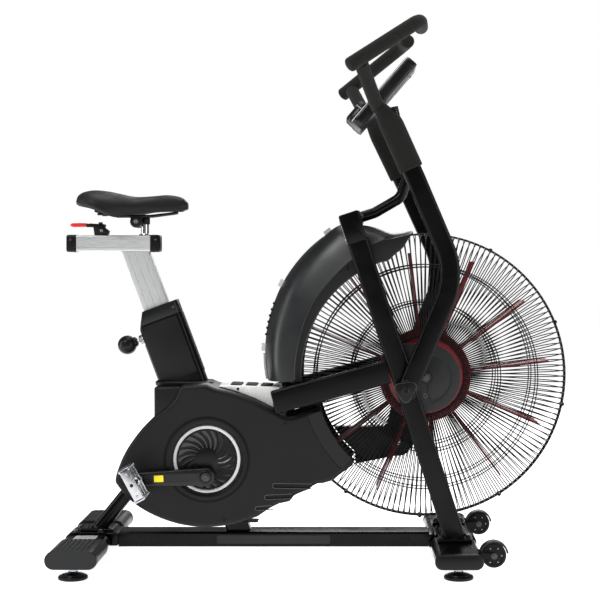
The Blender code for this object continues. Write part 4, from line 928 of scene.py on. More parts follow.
# distance from the middle plane, how far the outline is set in there
SHROUD_LEVELS = ((0.0002, 0), (0.0700, 0), (0.0820, 0.0007), (0.0885, 0.0022), (0.0930, 0.0048),
                 (0.0953, 0.0082), (SHROUD_HALF, 0.0120), (SHROUD_HALF, 0.0140))
# closed end, open end (x, z), half height, share of the length that has a lip
SHROUD_SLOTS = (((-0.106, 0.205), (0.0200, 0.2030), 0.0064, 0.76),
                ((-0.127, 0.175), (-0.0150, 0.1800), 0.0060, 0.58),
                ((-0.152, 0.146), (-0.0700, 0.1520), 0.0052, 0.50))


def shroud_outline():
    """The side outline (x, z): collar, top, the front edge round the fan, the underside and the back."""
    top = [(-0.3560, 0.4600), (-0.3450, 0.4690), (-0.2850, 0.4690), (-0.2600, 0.4590), (-0.2130, 0.4475),
           (-0.1630, 0.4285), (-0.1216, 0.4080), (-0.0860, 0.3890), (-0.0600, 0.3865), (-0.0264, 0.3970)]
    front = arc(FAN, CHEEK_R, 196.5, 229.5, 24)
    below = [(0.0960, 0.2560), (0.0400, 0.2150), (0.0193, 0.2090), (-0.0014, 0.2076), (-0.0180, 0.1930),
             (-0.0550, 0.1785), (-0.0680, 0.1620), (-0.1050, 0.1537), (-0.1530, 0.1215)]
    under = [(-0.1530, 0.1215), (-0.2210, 0.1010), (-0.2900, 0.0950), (-0.3450, 0.1000), (-0.3950, 0.1140),
             (-0.4450, 0.1370), (-0.4860, 0.1660), (-0.5160, 0.2010), (-0.5237, 0.2200), (-0.5110, 0.2620),
             (-0.4905, 0.3030), (-0.4570, 0.3485), (-0.4200, 0.3860), (-0.3840, 0.4150), (-0.3650, 0.4370)]
    smooth_top = [(p.x, p.y) for p in spline([(x, z, 0) for x, z in top[2:]], 5)]
    smooth_under = [(p.x, p.y) for p in spline([(x, z, 0) for x, z in under], 6)]
    return top[:2] + smooth_top + front + below[:-1] + smooth_under


def inset_outline(outline, distance):
    """The outline moved inwards by a distance."""
    moved = []
    for i, here in enumerate(outline):
        before, after = outline[i - 1], outline[(i + 1) % len(outline)]
        into = Vector((here[0] - before[0], here[1] - before[1])).normalized()
        out = Vector((after[0] - here[0], after[1] - here[1])).normalized()
        normal = Vector((into.y + out.y, -into.x - out.x)).normalized()
        share = min(1 / max(normal.dot(Vector((into.y, -into.x))), 0.1), 2.0)
        moved.append(Vector((here[0] + normal.x * distance * share, here[1] + normal.y * distance * share)))
    return without_crossings(outline, moved, distance)


def without_crossings(outline, moved, distance):
    """Points that came too near the outline, round a tight corner, join the nearest good one."""
    corners = [Vector(p) for p in outline]
    sides = list(zip(corners, corners[1:] + corners[:1]))

    def gap(point):
        near = []
        for a, b in sides:
            share = max(0.0, min(1.0, (point - a).dot(b - a) / (b - a).length_squared))
            near.append((point - a - (b - a) * share).length)
        return min(near)

    good = [i for i, point in enumerate(moved) if gap(point) > distance * 0.97 - 1e-6]
    count = len(moved)
    nearest = [min(good, key=lambda g: min(abs(g - i), count - abs(g - i))) for i in range(count)]
    return [tuple(moved[g]) for g in nearest]


def shell_loft(name, outer, inner, finish):
    """A shell open at its first ring: an outside, an inside and the edge that joins them."""
    count = len(outer[0])
    vertices = [v for ring in outer + inner for v in ring]
    inside = len(outer) * count
    faces = []
    for base in (0, inside):
        faces += skin(base, count, len(outer))
        faces.append(tuple(range(base + inside - count, base + inside)))
    for j in range(count):
        k = (j + 1) % count
        faces.append((j, k, inside + k, inside + j))
    return add_mesh(name, vertices, faces, finish, 34)


def sleeve_passage(start):
    """A cutter that clears the seat's sleeve, from a place along the seat's line."""
    rings = rings_along([seat_point(start), seat_point(0.06)], rounded_rect(0.0614, 0.1214, 0.014))
    return loft("sleeve_passage", rings, PLASTIC)


def shroud(word, side):
    """One half of the crank's cover: a hollow shell with its openings, cap, rings and screws."""
    outline = shroud_outline()

    def rings(wall):
        """The levels from the middle of the bike out to the flat side, set in by a wall."""
        deeper = (0, 0, wall * 0.3, wall * 0.6, wall * 0.8, wall, wall, wall)
        return [[Vector((x, side * (y - less), z)) for x, z in inset_outline(outline, inset + wall)]
                for (y, inset), less in zip(SHROUD_LEVELS, deeper)]

    shell = shell_loft("shroud_shell_" + word, rings(0), rings(0.003), PLASTIC)
    strut = [[middle + Vector((a, b, 0)) for a, b in rounded_rect(0.066, 0.031, 0.012)]
             for middle in (Vector((-0.593, 0, 0.0738)), Vector((-0.430, 0, 0.2690)))]
    # the flat of the recess and the sloping cheek along the front edge are cut a little into the wall
    recess = [(0, 0.0944), (0.1080, 0.0944), (0.1080, 0.0936), (0.1112, 0.0936), (0.1124, 0.0962),
              (0.1124, 0.12), (0, 0.12)]
    cheek = [(0.2700, 0.0934), (0.3250, 0.0950), (0.3250, 0.12), (0.2700, 0.12)]
    cutters = [
        rod("cage_slot", at_y(FAN, -0.0815), at_y(FAN, 0.0815), CAGE_R + 0.0055, PLASTIC, 128),
        sleeve_passage(-0.034),
        loft("strut_hole", strut, PLASTIC),
        rod("axle_hole", at_y(CRANK, -0.12), at_y(CRANK, 0.12), AXLE_HOLE, PLASTIC),
        turned("recess", recess, RECESS, ACROSS * side, PLASTIC, 96),
        turned("cheek", cheek, FAN, ACROSS * side, PLASTIC, 160, ring=True),
    ]
    lips = []
    for start, end, size, share in SHROUD_SLOTS:
        start, end = (Vector((x, side * 0.0958, z)) for x, z in (start, end))
        lips.append(slot_rim(start, start.lerp(end, share), size))
        slot = hull(start, size, end, size * 1.25)
        cutters.append(prism("slot", slot, *span(side, 0.0800, 0.13), PLASTIC))
    cut(shell, *cutters)
    pieces = [shell]
    pieces += [make(side) for make in (shroud_ring, shroud_cap, slot_floor, bowl, cheek_band)]
    pieces += lips
    for x, z in ((-0.239, 0.114), (-0.080, 0.365), (-0.470, 0.230)):
        pieces.append(screw("shroud_screw", (x, side * 0.0960, z), ACROSS * side, 0.0050))
    show(join("shroud_" + word + "_shell", *pieces), "frame", "moulded_plastic", "shroud_" + word)


def slot_rim(start, end, size):
    """A fine raised lip along the top of a slot, round its closed end and back along the bottom. Its light
    grey is a painted highlight.
    """
    along = (end - start).normalized()
    over = along.cross(ACROSS) * size
    if over.z < 0:
        over = -over
    path = [end + over]
    for i in range(13):
        turn = math.pi * i / 12
        path.append(start + over * math.cos(turn) - along * (size * math.sin(turn)))
    path.append(end - over)
    return sweep("slot_lip", path, circle(0.0012, 8), PAINTED_HIGHLIGHT_GREY, ACROSS, sharp=80)


def bowl(side):
    """The stepped dark ring round the silver one."""
    profile = [(0.0875, 0.0938), (0.0875, 0.0946), (0.0925, 0.0952), (0.0940, 0.0968), (0.0985, 0.0976),
               (0.1065, 0.0970), (0.1082, 0.0946), (0.1082, 0.0938)]
    return turned("bowl", profile, RECESS, ACROSS * side, DARK, 96, ring=True)


def cheek_band(side):
    """The smooth sloping band along the front edge, by the cage."""
    section = ((0.2868, 0.0928), (0.2868, 0.0944), (0.3232, 0.0962), (0.3240, 0.0948))
    rings = []
    for i in range(31):
        out = outward(math.radians(198 + 29.5 * i / 30))
        rings.append([FAN + out * r + ACROSS * side * y for r, y in section])
    return loft("cheek_band", rings, GUARD, 30)


def slot_floor(side):
    """The wall behind the slots, in the darker black plastic as painted shade inside them."""
    outline = [(-0.178, 0.142), (-0.150, 0.131), (-0.080, 0.166), (-0.020, 0.198), (0.026, 0.221),
               (0.0, 0.240), (-0.178, 0.235)]
    return prism("slot_floor", outline, *span(side, 0.0850, 0.0900), DARK)


def shroud_ring(side):
    """The rounded silver ring round the cap."""
    profile = [(0.0792, 0.0940), (0.0794, 0.0970), (0.0806, 0.0984), (0.0832, 0.0990), (0.0858, 0.0984),
               (0.0870, 0.0968), (0.0872, 0.0940)]
    return turned("silver_ring", profile, RECESS, ACROSS * side, SILVER, 96, ring=True)


def shroud_cap(side):
    """A cap like a turbine: curved vanes round a low dome."""
    base = [(0.0, 0.0990), (0.012, 0.0988), (0.022, 0.0980), (0.029, 0.0966), (0.0325, 0.0952),
            (0.0400, 0.0948), (0.0725, 0.0948), (0.0760, 0.0956), (0.0760, 0.0938), (0.0, 0.0938)]
    cap = turned("cap", base, RECESS, ACROSS * side, DARK, 96)
    cut(cap, rod("cap_bore", at_y(CRANK, -0.12), at_y(CRANK, 0.12), AXLE_HOLE, DARK))
    return join("cap", cap, *[vane(side, 2 * math.pi * i / VANES) for i in range(VANES)])


def vane(side, start):
    """A vane that swirls outwards, steep on one flank."""
    rings = []
    for i in range(9):
        t = i / 8
        turn = start + 0.40 * t**1.15
        along = onward(turn)
        wide = 0.0026 + 0.0066 * t
        rise = 0.0042 * math.sin(math.pi * min(0.12 + t * 0.9, 1.0) * 0.93) ** 0.6
        middle = RECESS + outward(turn) * (0.0300 + 0.0440 * t)
        section = [(-wide, 0.0940), (-wide * 0.7, 0.0948 + rise), (0.0, 0.0948 + rise * 0.9),
                   (wide, 0.0946), (wide, 0.0940)]
        rings.append([middle + along * a + ACROSS * side * y for a, y in section])
    return loft("vane", rings, VANE, 45)


def shroud_extras():
    """The flange round the seat's collar, the set-back box behind it and the foot bracket."""
    flange = [[Vector((-0.351, 0, z)) + Vector((a, b, 0)) for a, b in rounded_rect(w, d, 0.030)]
              for z, w, d in ((0.4600, 0.150, 0.096), (0.4640, 0.152, 0.098), (0.4690, 0.152, 0.098),
                              (0.4712, 0.148, 0.094))]
    collar = cut(loft("collar", flange, PLASTIC), sleeve_passage(-0.034))
    box = cuboid("neck", (-0.4220, -0.0850, 0.3700), (-0.3300, 0.0850, 0.4610), PLASTIC, 0.0060)
    cut(box, sleeve_passage(-0.160))
    foot_levels = ((0.0965, 1), (0.0985, 1))
    bracket = flat_stack(Vector((-0.217, 0, 0)), rounded_rect(0.124, 0.050, 0.008), foot_levels)
    show(join("shroud_collar", collar, box, loft("bracket", bracket, DARK)), "frame", "moulded_plastic")


def middle_cover():
    """The pale cover between the two shroud halves, with three rubber pads on its slope."""
    outline = [(-0.2580, 0.4600), (-0.2130, 0.4484), (-0.1630, 0.4295), (-0.1216, 0.4090),
               (-0.1066, 0.4012), (-0.1066, 0.4446), (-0.0948, 0.4450), (-0.0946, 0.4560),
               (-0.0990, 0.4580), (-0.2200, 0.4622)]
    pieces = [prism("cover", outline, -0.060, 0.060, PALE, 0.0030)]
    slope = Vector((0.1210, 0, -0.0042)).normalized()
    for x in (-0.212, -0.172, -0.132):
        middle = Vector((x, 0, 0.4622 - (x + 0.2200) * 0.035))
        pad = [[middle + slope * a * s + ACROSS * b * s + UP * h
                for a, b in rounded_rect(0.030, 0.086, 0.008)]
               for h, s in ((-0.0010, 1.0), (0.0016, 1.0), (0.0028, 0.93))]
        pieces.append(loft("pad", pad, RUBBER))
    for x, z in ((-0.205, 0.4535), (-0.115, 0.4420)):
        for side in (-1, 1):
            pieces.append(screw("cover_screw", (x, side * 0.0600, z), ACROSS * side, 0.0036))
    show(join("middle_cover", *pieces), "frame", "pale_plastic", "center_cover")


# Seat
RAIL_LOW_Z, RAIL_TOP_Z = 0.8145, 0.8575
RAIL_REAR_X, RAIL_FRONT_X = -0.6375, -0.4415
RAIL_WIDTH = 0.040
RAIL_CAP = 0.0265
PIN = Vector((-0.4575, 0, 0))
SEAT_BOLT = Vector((-0.4775, 0, 0.8940))
LEVER_X = -0.572
KNOB_S = 0.1382
KNOB_OUT = 0.1075


def seat_sleeve():
    """The black sleeve over the seat tube, with its inset panels and the smooth collar at the top."""
    body = sweep("sleeve", [seat_point(-0.030), seat_point(0.205)], rounded_rect(0.060, 0.120, 0.014, 8),
                 STEEL)
    collar_path = [seat_point(0.1720), seat_point(0.2060)]
    collar = sweep("collar", collar_path, rounded_rect(0.0622, 0.1222, 0.015, 8), GUARD)
    chamfer = [seat_point(0.225, -0.0253), seat_point(0.157, -0.0615)]
    outline = side_view(chamfer) + [(-0.60, chamfer[1].z), (-0.60, chamfer[0].z)]
    bore = rings_along([seat_point(-0.05), seat_point(0.25)], rounded_rect(0.039, 0.073, 0.006))
    for piece in (body, collar):
        cut(piece, prism("chamfer", outline, -0.05, 0.05, STEEL), loft("bore", bore, STEEL))
    pieces = [body, soften(collar, 0.0012)]
    panel = [seat_point(s, f) for s, f in
             ((0.008, 0.046), (0.166, 0.046), (0.166, -0.044), (0.150, -0.050), (0.008, -0.050))]
    for side in (-1, 1):
        pieces.append(prism("panel", side_view(panel), *span(side, 0.0290, 0.0308), PLASTIC, 0.0008))
        spot = seat_point(0.190, 0.046, side * 0.0312)
        pieces.append(screw("collar_screw", spot, ACROSS * side, 0.0036, BRASS))
    edge = [seat_point(0.004, 0.0606), seat_point(0.170, 0.0606)]
    pieces.append(sweep("front_edge", edge, rounded_rect(0.034, 0.0024, 0.001, 2), PLATE))
    ridge = [seat_point(0.004, -0.0606), seat_point(0.120, -0.0606)]
    pieces.append(sweep("rear_ridge", ridge, rounded_rect(0.026, 0.0030, 0.0012, 2), GUARD))
    nut_place = seat_point(KNOB_S, -0.0600)
    nut = [(0, -0.004), (0.0120, -0.004), (0.0120, 0.0100), (0.0105, 0.0120), (0.0060, 0.0120),
           (0.0056, 0.0), (0, 0.0)]
    pieces.append(turned("knob_nut", nut, nut_place, -SEAT_FORE, ZINC, 6, sharp=20))
    washer = [(0.006, 0), (0.0150, 0), (0.0155, 0.0012), (0.0150, 0.0020), (0.006, 0.0020)]
    pieces.append(turned("knob_washer", washer, nut_place, -SEAT_FORE, ZINC, 32, ring=True))
    show(join("seat_sleeve_body", *pieces), "frame", "frame_steel", "seat_sleeve")


def seat_post():
    """The aluminium post: an extrusion with three shallow lengthwise grooves down each side."""
    low, top = seat_point(0.060), seat_point((RAIL_LOW_Z - 0.0003 - SEAT_FOOT.z) / SEAT_UP.z)
    groove = ((-0.0012, 0), (-0.0006, 0.0007), (0.0006, 0.0007), (0.0012, 0))
    cuts = [(spot + step, depth) for spot in (-0.019, 0.0, 0.019) for step, depth in groove]
    section = grooved(rounded_rect(0.038, 0.072, 0.0055), cuts)
    lower, upper = [[point + ACROSS * a + SEAT_FORE * b for a, b in section] for point in (low, top)]
    upper = onto_plane(upper, SEAT_UP, top, UP)
    show(loft("seat_post_tube", [lower, upper], ALUMINIUM, 30), "seat_post", "aluminium", "seat_post")


def slider_rail():
    """The rail that the saddle slides on: a grooved box section with a slot in its top, and two end caps."""
    middle = (RAIL_LOW_Z + RAIL_TOP_Z) / 2
    height = RAIL_TOP_Z - RAIL_LOW_Z
    cuts = ((-0.0110, 0), (-0.0104, 0.0006), (-0.0098, 0), (0.0098, 0), (0.0104, 0.0006), (0.0110, 0))
    section = grooved(rounded_rect(RAIL_WIDTH, height, 0.0030), cuts)
    path = [(RAIL_REAR_X, 0, middle), (RAIL_FRONT_X, 0, middle)]
    rail = loft("slider", rings_along(path, section), ALUMINIUM_RAIL, 30)
    bore_path = [(RAIL_REAR_X - 0.01, 0, middle), (RAIL_FRONT_X + 0.01, 0, middle)]
    bore = rounded_rect(RAIL_WIDTH - 0.006, height - 0.006, 0.001, 2)
    hollow = sweep("hollow", bore_path, bore, ALUMINIUM_RAIL)
    slot = [(PIN.x - 0.072, middle), (0, middle), (0, 1.0), (PIN.x - 0.072, 1.0)]
    cut(rail, hollow, prism("slot", slot, -0.0125, 0.0125, ALUMINIUM_RAIL))
    show(rail, "seat_post", "aluminium", "slider_rail")
    rail_cap("rear", RAIL_REAR_X, -1, middle, height)
    rail_cap("front", RAIL_FRONT_X, 1, middle, height)


def rail_cap(word, x, way, middle, height):
    """A plastic cap whose narrow inner end plugs the rail, with a fine lip and a screw in its side."""
    rings = []
    profile = ((-0.004, -0.0072), (0.0003, -0.0072), (0.0003, 0.0018), (0.0010, 0.0030), (0.0200, 0.0030),
               (0.0245, 0.0016), (RAIL_CAP, -0.0030))
    for out, grow in profile:
        spot = Vector((x + way * out, 0, middle))
        section = rounded_rect(RAIL_WIDTH + grow, height + grow, 0.0055 if grow > -0.005 else 0.002)
        rings.append([spot + ACROSS * a + UP * b for a, b in section])
    lip_path = [Vector((x + way * 0.0060, 0, middle)), Vector((x + way * 0.0072, 0, middle))]
    lip = rounded_rect(RAIL_WIDTH + 0.0040, height + 0.0040, 0.0055)
    pieces = [loft("cap", rings, DARK), sweep("lip", lip_path, lip, GUARD)]
    spot = (x + way * 0.0150, -(RAIL_WIDTH + 0.003) / 2, middle + 0.010)
    pieces.append(screw("cap_screw", spot, -ACROSS, 0.0030, BRASS))
    show(join("rail_end_" + word, *pieces), "seat_post", "moulded_plastic", "rail_cap_" + word)


def carriage():
    """The sliding block, the conical washer, the chrome pin and its black clamp sleeve."""
    low, high = RAIL_LOW_Z + 0.0033, RAIL_TOP_Z - 0.0033
    block = cuboid("slide", (PIN.x - 0.045, -0.0165, low), (RAIL_FRONT_X - 0.005, 0.0165, high),
                   ZINC, 0.0010)
    neck = rod("neck", PIN + UP * (high - 0.002), PIN + UP * (RAIL_TOP_Z + 0.001), 0.0085, ZINC)
    washer = [(0.0105, 0.0003), (0.0155, 0.0003), (0.0158, 0.0012), (0.0150, 0.0030), (0.0118, 0.0046),
              (0.0105, 0.0046)]
    pieces = [block, neck, turned("washer", washer, PIN + UP * RAIL_TOP_Z, UP, CHROME, 40, ring=True)]
    pieces.append(rod("pin", PIN + UP * (RAIL_TOP_Z + 0.0003), PIN + UP * 0.9060, 0.0105,
                      CHROME, 40, 0.0012))
    sleeve = [(0.0106, 0.0), (0.0128, 0.0006), (0.0132, 0.0022), (0.0132, 0.0178), (0.0126, 0.0192),
              (0.0106, 0.0198)]
    pieces.append(turned("pin_sleeve", sleeve, PIN + UP * 0.8862, UP, DARK, 40, ring=True))
    pieces.append(rod("yoke", SEAT_BOLT - ACROSS * 0.0115, SEAT_BOLT + ACROSS * 0.0115,
                      0.0125, DARK, 36, 0.0012))
    show(join("carriage_block", *pieces), "carriage", "zinc_steel", "saddle_carriage")


def saddle_frame():
    """The saddle's wire frame, the clamp with its cheeks and bolt, and two rubber bumpers."""
    pieces = []
    half = [(-0.585, 0.040, 0.922), (-0.535, 0.030, 0.9085), (-0.500, 0.022, 0.9085),
            (-0.440, 0.022, 0.9085), (-0.372, 0.012, 0.9170)]
    points = [Vector((x, -y, z)) for x, y, z in half] + [Vector(p) for p in reversed(half)]
    pieces.append(sweep("wire", rounded_path(points, 0.010, 8), circle(0.0035, 14), DARK, UP, sharp=70))
    for side in (-1, 1):
        cheek = arc(SEAT_BOLT, 0.0165, 150, 390, 30)
        cheek += [(SEAT_BOLT.x + 0.020, 0.9065), (SEAT_BOLT.x - 0.020, 0.9065)]
        low, high = span(side, 0.0128, 0.0262)
        pieces.append(prism("cheek", cheek, low, high, DARK, 0.0018))
        dish = [(0.0050, 0.0), (0.0145, 0.0), (0.0145, 0.0010), (0.0125, 0.0016), (0.0050, 0.0008)]
        pieces.append(turned("dish", dish, SEAT_BOLT + ACROSS * side * 0.0262, ACROSS * side,
                             GUARD, 40, ring=True))
        pieces.append(hex_bolt("clamp_nut", SEAT_BOLT + ACROSS * side * 0.0274, ACROSS * side,
                               0.0115, ZINC, False))
        bumper = [(0, 0.0), (0.0078, 0.0), (0.0086, 0.0030), (0.0072, 0.0060), (0.0086, 0.0090),
                  (0.0072, 0.0120), (0.0090, 0.0160), (0.0090, 0.0260), (0, 0.0260)]
        pieces.append(turned("bumper", bumper, (-0.5700, side * 0.0360, 0.9100), UP, RUBBER, 28))
    pieces.append(rod("bolt", SEAT_BOLT - ACROSS * 0.027, SEAT_BOLT + ACROSS * 0.027, 0.0040, ZINC))
    show(join("saddle_clamp", *pieces), "saddle", "zinc_steel", "saddle_frame")


SADDLE_SLICES = (
    # x, half width, top, edge of the skirt, underside in the middle
    (-0.6340, 0.034, 0.9520, 0.9400, 0.9420), (-0.6280, 0.062, 0.9650, 0.9360, 0.9400),
    (-0.6120, 0.086, 0.9735, 0.9320, 0.9380), (-0.5850, 0.099, 0.9775, 0.9260, 0.9370),
    (-0.5500, 0.098, 0.9745, 0.9120, 0.9360), (-0.5190, 0.085, 0.9680, 0.9080, 0.9340),
    (-0.4780, 0.058, 0.9600, 0.9130, 0.9320), (-0.4350, 0.038, 0.9620, 0.9200, 0.9300),
    (-0.3950, 0.031, 0.9650, 0.9220, 0.9290), (-0.3600, 0.026, 0.9590, 0.9220, 0.9270),
    (-0.3420, 0.014, 0.9440, 0.9260, 0.9280),
)


def saddle():
    """The cushion: crowned, with a shallow channel down its rear half, and a raised seam above its skirt."""
    first = spline([(x, half, top) for x, half, top, _, _ in SADDLE_SLICES], 6)
    second = spline([(x, skirt, under) for x, _, _, skirt, under in SADDLE_SLICES], 6)
    rings, welt = [], []
    for a, b in zip(first, second):
        x, half, top, skirt, under = a.x, a.y, a.z, b.y, b.z
        ring = [Vector((x, 0, under)), Vector((x, half * 0.55, under)),
                Vector((x, half * 0.86, skirt + 0.0015)),
                Vector((x, half * 0.93, skirt))]
        for i in range(17):
            turn = math.pi / 2 * i / 16
            rise = math.sin(turn) ** 0.8
            y = half * math.cos(turn) ** 0.8
            dip = 0.0030 * math.exp(-((y / 0.012) ** 2)) * max(0.0, 1 - abs(x + 0.560) / 0.075)
            ring.append(Vector((x, y, skirt + 0.006 + (top - skirt - 0.006) * rise - dip)))
        welt.append(Vector((x, half * 0.985, skirt + 0.0085)))
        rings.append(ring + [Vector((v.x, -v.y, v.z)) for v in reversed(ring[1:-1])])
    cushion = loft("cushion", rings, LEATHER, sharp=70)
    smooth = cushion.modifiers.new("round", "SUBSURF")
    smooth.levels = smooth.render_levels = 1
    bake(cushion, sharp=70)
    around = [Vector((v.x, -v.y, v.z)) for v in welt[4:-2]] + [Vector(v) for v in reversed(welt[4:-2])]
    seam = sweep("seam", around, circle(0.0013, 8), LEATHER, UP, sharp=80)
    base = [[Vector((v.x * 0.985 - 0.0075, v.y * 0.90, v.z - 0.0012 if v.z < 0.945 else 0.9410))
             for v in ring]
            for ring in rings[6:-4]]
    shell = loft("shell", base, DARK, sharp=60)
    piece = join("saddle_cushion", cushion, seam, shell)
    show(piece, "saddle", "saddle_foam", "saddle")


def seat_lever():
    """The cam lever that clamps the rail, with its red handle."""
    base = RAIL_TOP_Z + 0.0003
    cam = [(LEVER_X - 0.019, base), (LEVER_X + 0.017, base), (LEVER_X + 0.0200, base + 0.0120),
           (LEVER_X + 0.0080, base + 0.0200), (LEVER_X + 0.0100, base + 0.0290),
           (LEVER_X - 0.0300, base + 0.0315), (LEVER_X - 0.0420, base + 0.0300),
           (LEVER_X - 0.0410, base + 0.0215), (LEVER_X - 0.0220, base + 0.0215)]
    handle = [(LEVER_X - 0.0380, base + 0.0225), (LEVER_X - 0.0380, base + 0.0318),
              (LEVER_X - 0.0600, base + 0.0328), (LEVER_X - 0.0780, base + 0.0322),
              (LEVER_X - 0.0840, base + 0.0290), (LEVER_X - 0.0830, base + 0.0240),
              (LEVER_X - 0.0760, base + 0.0220), (LEVER_X - 0.0600, base + 0.0222)]
    pieces = [prism("cam", cam, -0.0110, 0.0110, DARK, 0.0022),
              prism("handle", handle, -0.0095, 0.0095, RED, 0.0030)]
    pieces.append(rod("cam_pin", (LEVER_X, -0.0122, base + 0.012), (LEVER_X, 0.0122, base + 0.012),
                      0.0042, ZINC))
    pieces.append(hex_bolt("cam_nut", (LEVER_X - 0.004, 0, base + 0.0290), UP, 0.0100))
    show(join("clamp_lever", *pieces), "seat_lever", "moulded_plastic", "seat_lever")


def height_knob():
    """A ball knob with shallow flutes on a zinc stem."""
    middle = seat_point(KNOB_S, -KNOB_OUT)
    turn = UP.rotation_difference(SEAT_FORE).to_matrix()
    radius, rows, steps = 0.0253, 22, 72
    vertices = []
    for i in range(1, rows):
        polar = math.pi * i / rows
        for j in range(steps):
            angle = 2 * math.pi * j / steps
            flute = 0.0006 * (1 - abs(math.cos(4.5 * angle))) * math.sin(polar) ** 2
            size = radius - flute
            a = size * math.sin(polar) * math.cos(angle)
            b = size * math.sin(polar) * math.sin(angle)
            vertices.append(middle + turn @ Vector((a, b, -size * math.cos(polar))))
    faces = skin(0, steps, rows - 1)
    faces.append(tuple(range(steps)))
    faces.append(tuple(range((rows - 2) * steps, (rows - 1) * steps)))
    pieces = [add_mesh("ball", vertices, faces, DARK, 70)]
    neck = [(0, 0.0200), (0.0135, 0.0200), (0.0125, 0.0265), (0.0090, 0.0290), (0.0046, 0.0292),
            (0, 0.0292)]
    pieces.append(turned("neck", neck, middle, SEAT_FORE, DARK, 40))
    pieces.append(rod("stem", middle + SEAT_FORE * 0.0285, middle + SEAT_FORE * 0.0670, 0.0046, ZINC))
    show(join("pull_knob", *pieces), "height_knob", "moulded_plastic", "height_knob")


# Handle arms
ARM_Y = 0.167


def lean(piece, side):
    """Turns a left-hand piece back by its rest angle about the pivot."""
    if side > 0:
        turn = Matrix.Rotation(-LEFT_ARM_BACK, 4, "Y")
        piece.data.transform(Matrix.Translation(PIVOT) @ turn @ Matrix.Translation(-PIVOT))
    return piece


def arm_path(side):
    """The arm's middle line, from the pivot up to the riser."""
    y = side * ARM_Y
    bends = [(0.231, y, 0.450), (0.3600, y, 0.7540), (0.2580, y, 0.9960), (0.1800, y, 1.1700)]
    return rounded_path(bends, 0.18, 20)


def bar_path(side):
    """The handlebar's middle line, from its outer end up and in."""
    bends = [(0.0900, side * 0.300, 1.2720), (0.2650, side * 0.212, 1.3960), (0.2720, side * 0.122, 1.3930)]
    return rounded_path(bends, 0.045, 14)


def handle_arm(word, side):
    """The arm with its boss, stub shaft, inner lever, pivot cap and handlebar."""
    hub = [(0, 0.1388), (0.0258, 0.1388), (0.0270, 0.1400), (0.0270, 0.1845), (0.0255, 0.1860), (0, 0.1860)]
    arm = [sweep("tube", arm_path(side), rounded_rect(0.030, 0.050, 0.0085, 6), STEEL, sharp=50),
           turned("boss", hub, at_y(PIVOT, 0), ACROSS * side, STEEL, 56),
           rod("stub", at_y(PIVOT, side * 0.1130), at_y(PIVOT, side * 0.1450), 0.0120, ZINC, 32)]
    tip = PIVOT + UPRIGHT_UP * LEVER_LENGTH
    lever = hull(PIVOT, 0.0168, tip, 0.0085)
    upright_pieces = [prism("lever", lever, *span(side, 0.1120, 0.1185), STEEL, 0.0010),
                      rod("pin", at_y(tip, side * 0.1150), at_y(tip, side * 0.1275), 0.0040, ZINC)]
    bar = sweep("bar", bar_path(side), circle(0.0130, 20), STEEL, UP, 60)
    pieces = [lean(piece, side) for piece in arm] + upright_pieces
    pieces += [lean(piece, side) for piece in pivot_cap(side) + [bar]]
    show(join("handle_arm_" + word, *pieces), "handle_" + word, "frame_steel", "arm_" + word)


def pivot_cap(side):
    """The rounded triangular plate over the pivot, and its round bolt. A slightly wider light grey plate
    under it is a painted highlight round the plate's edge.
    """
    outline = []
    for towards, start, end in ((35, -27.5, 97.5), (160, 97.5, 215), (270, 215, 332.5)):
        corner = PIVOT + outward(math.radians(towards)) * 0.0170
        outline += arc(corner, 0.0120, start, end, 12)
    # a thin light grey rim round the plate: a painted highlight
    highlight_outline = [(PIVOT.x + (x - PIVOT.x) * 1.05, PIVOT.z + (z - PIVOT.z) * 1.05) for x, z in outline]
    rim = [(0.0090, 0.0), (0.0140, 0.0), (0.0140, 0.0016), (0.0125, 0.0024), (0.0090, 0.0024)]
    return [
        prism("cap_painted_highlight", highlight_outline, *span(side, 0.1858, 0.1868), PAINTED_HIGHLIGHT_GREY, 0.0003),
        prism("cap_plate", outline, *span(side, 0.1862, 0.1885), DARK, 0.0011),
        turned("cap_ring", rim, at_y(PIVOT, side * 0.1884), ACROSS * side, DARK, 40, ring=True),
        screw("cap_bolt", at_y(PIVOT, side * 0.1890), ACROSS * side, 0.0100),
    ]


def arm_foam(word, side):
    """The foam on the arm, which narrows at its shoulder and runs on up the riser to the grip."""
    y = side * ARM_Y
    lower = Vector((0.2580, y, 0.9960))
    straight = (Vector((0.1800, y, 1.1700)) - lower).normalized()
    start = lower + straight * 0.030
    # the rounded lower end, then the straight part, then the bend: the section goes from wide to slim
    runs = ((0.0, 0.93), (0.0015, 0.985), (0.005, 1.0), (0.060, 1.0), (0.120, 1.0))
    path = [start + straight * s for s, _ in runs]
    sizes = [(size, 0.0) for _, size in runs]
    bends = [path[-1], Vector((0.1700, side * 0.1685, 1.1740)), Vector((0.1560, side * 0.1730, 1.1900)),
             Vector((0.1160, side * 0.2780, 1.2800))]
    up = spline([path[-2]] + bends, 6)[7:]
    path += up
    sizes += [(1.0, min(1.0, (i + 1) / 8)) for i in range(len(up))]
    wide = rounded_rect(0.0440, 0.0620, 0.0190)
    slim = circle(0.0180, 24)
    rings = []
    for (point, across, rise), (size, mix) in zip(stations(path, ACROSS), sizes):
        soft = mix * mix * (3 - 2 * mix)
        rings.append([point + (across * (a + (c - a) * soft) + rise * (b + (d - b) * soft)) * size
                      for (a, b), (c, d) in zip(wide, slim)])
    foam = loft("foam", rings, FOAM, 65)
    mould = [start + straight * s for s in (0.0075, 0.0095)]
    band = sweep("band", mould, rounded_rect(0.0446, 0.0626, 0.0192), FOAM)
    piece = lean(join("foam_sleeve_" + word, foam, band), side)
    show(piece, "handle_" + word, "grip_foam", "arm_foam_" + word)


def grip(word, side):
    """The foam over the handlebar."""
    piece = lean(rounded_tube("foam_grip_" + word, bar_path(side), 0.0185, FOAM, 28, 0.45), side)
    show(piece, "handle_" + word, "grip_foam", "grip_" + word)


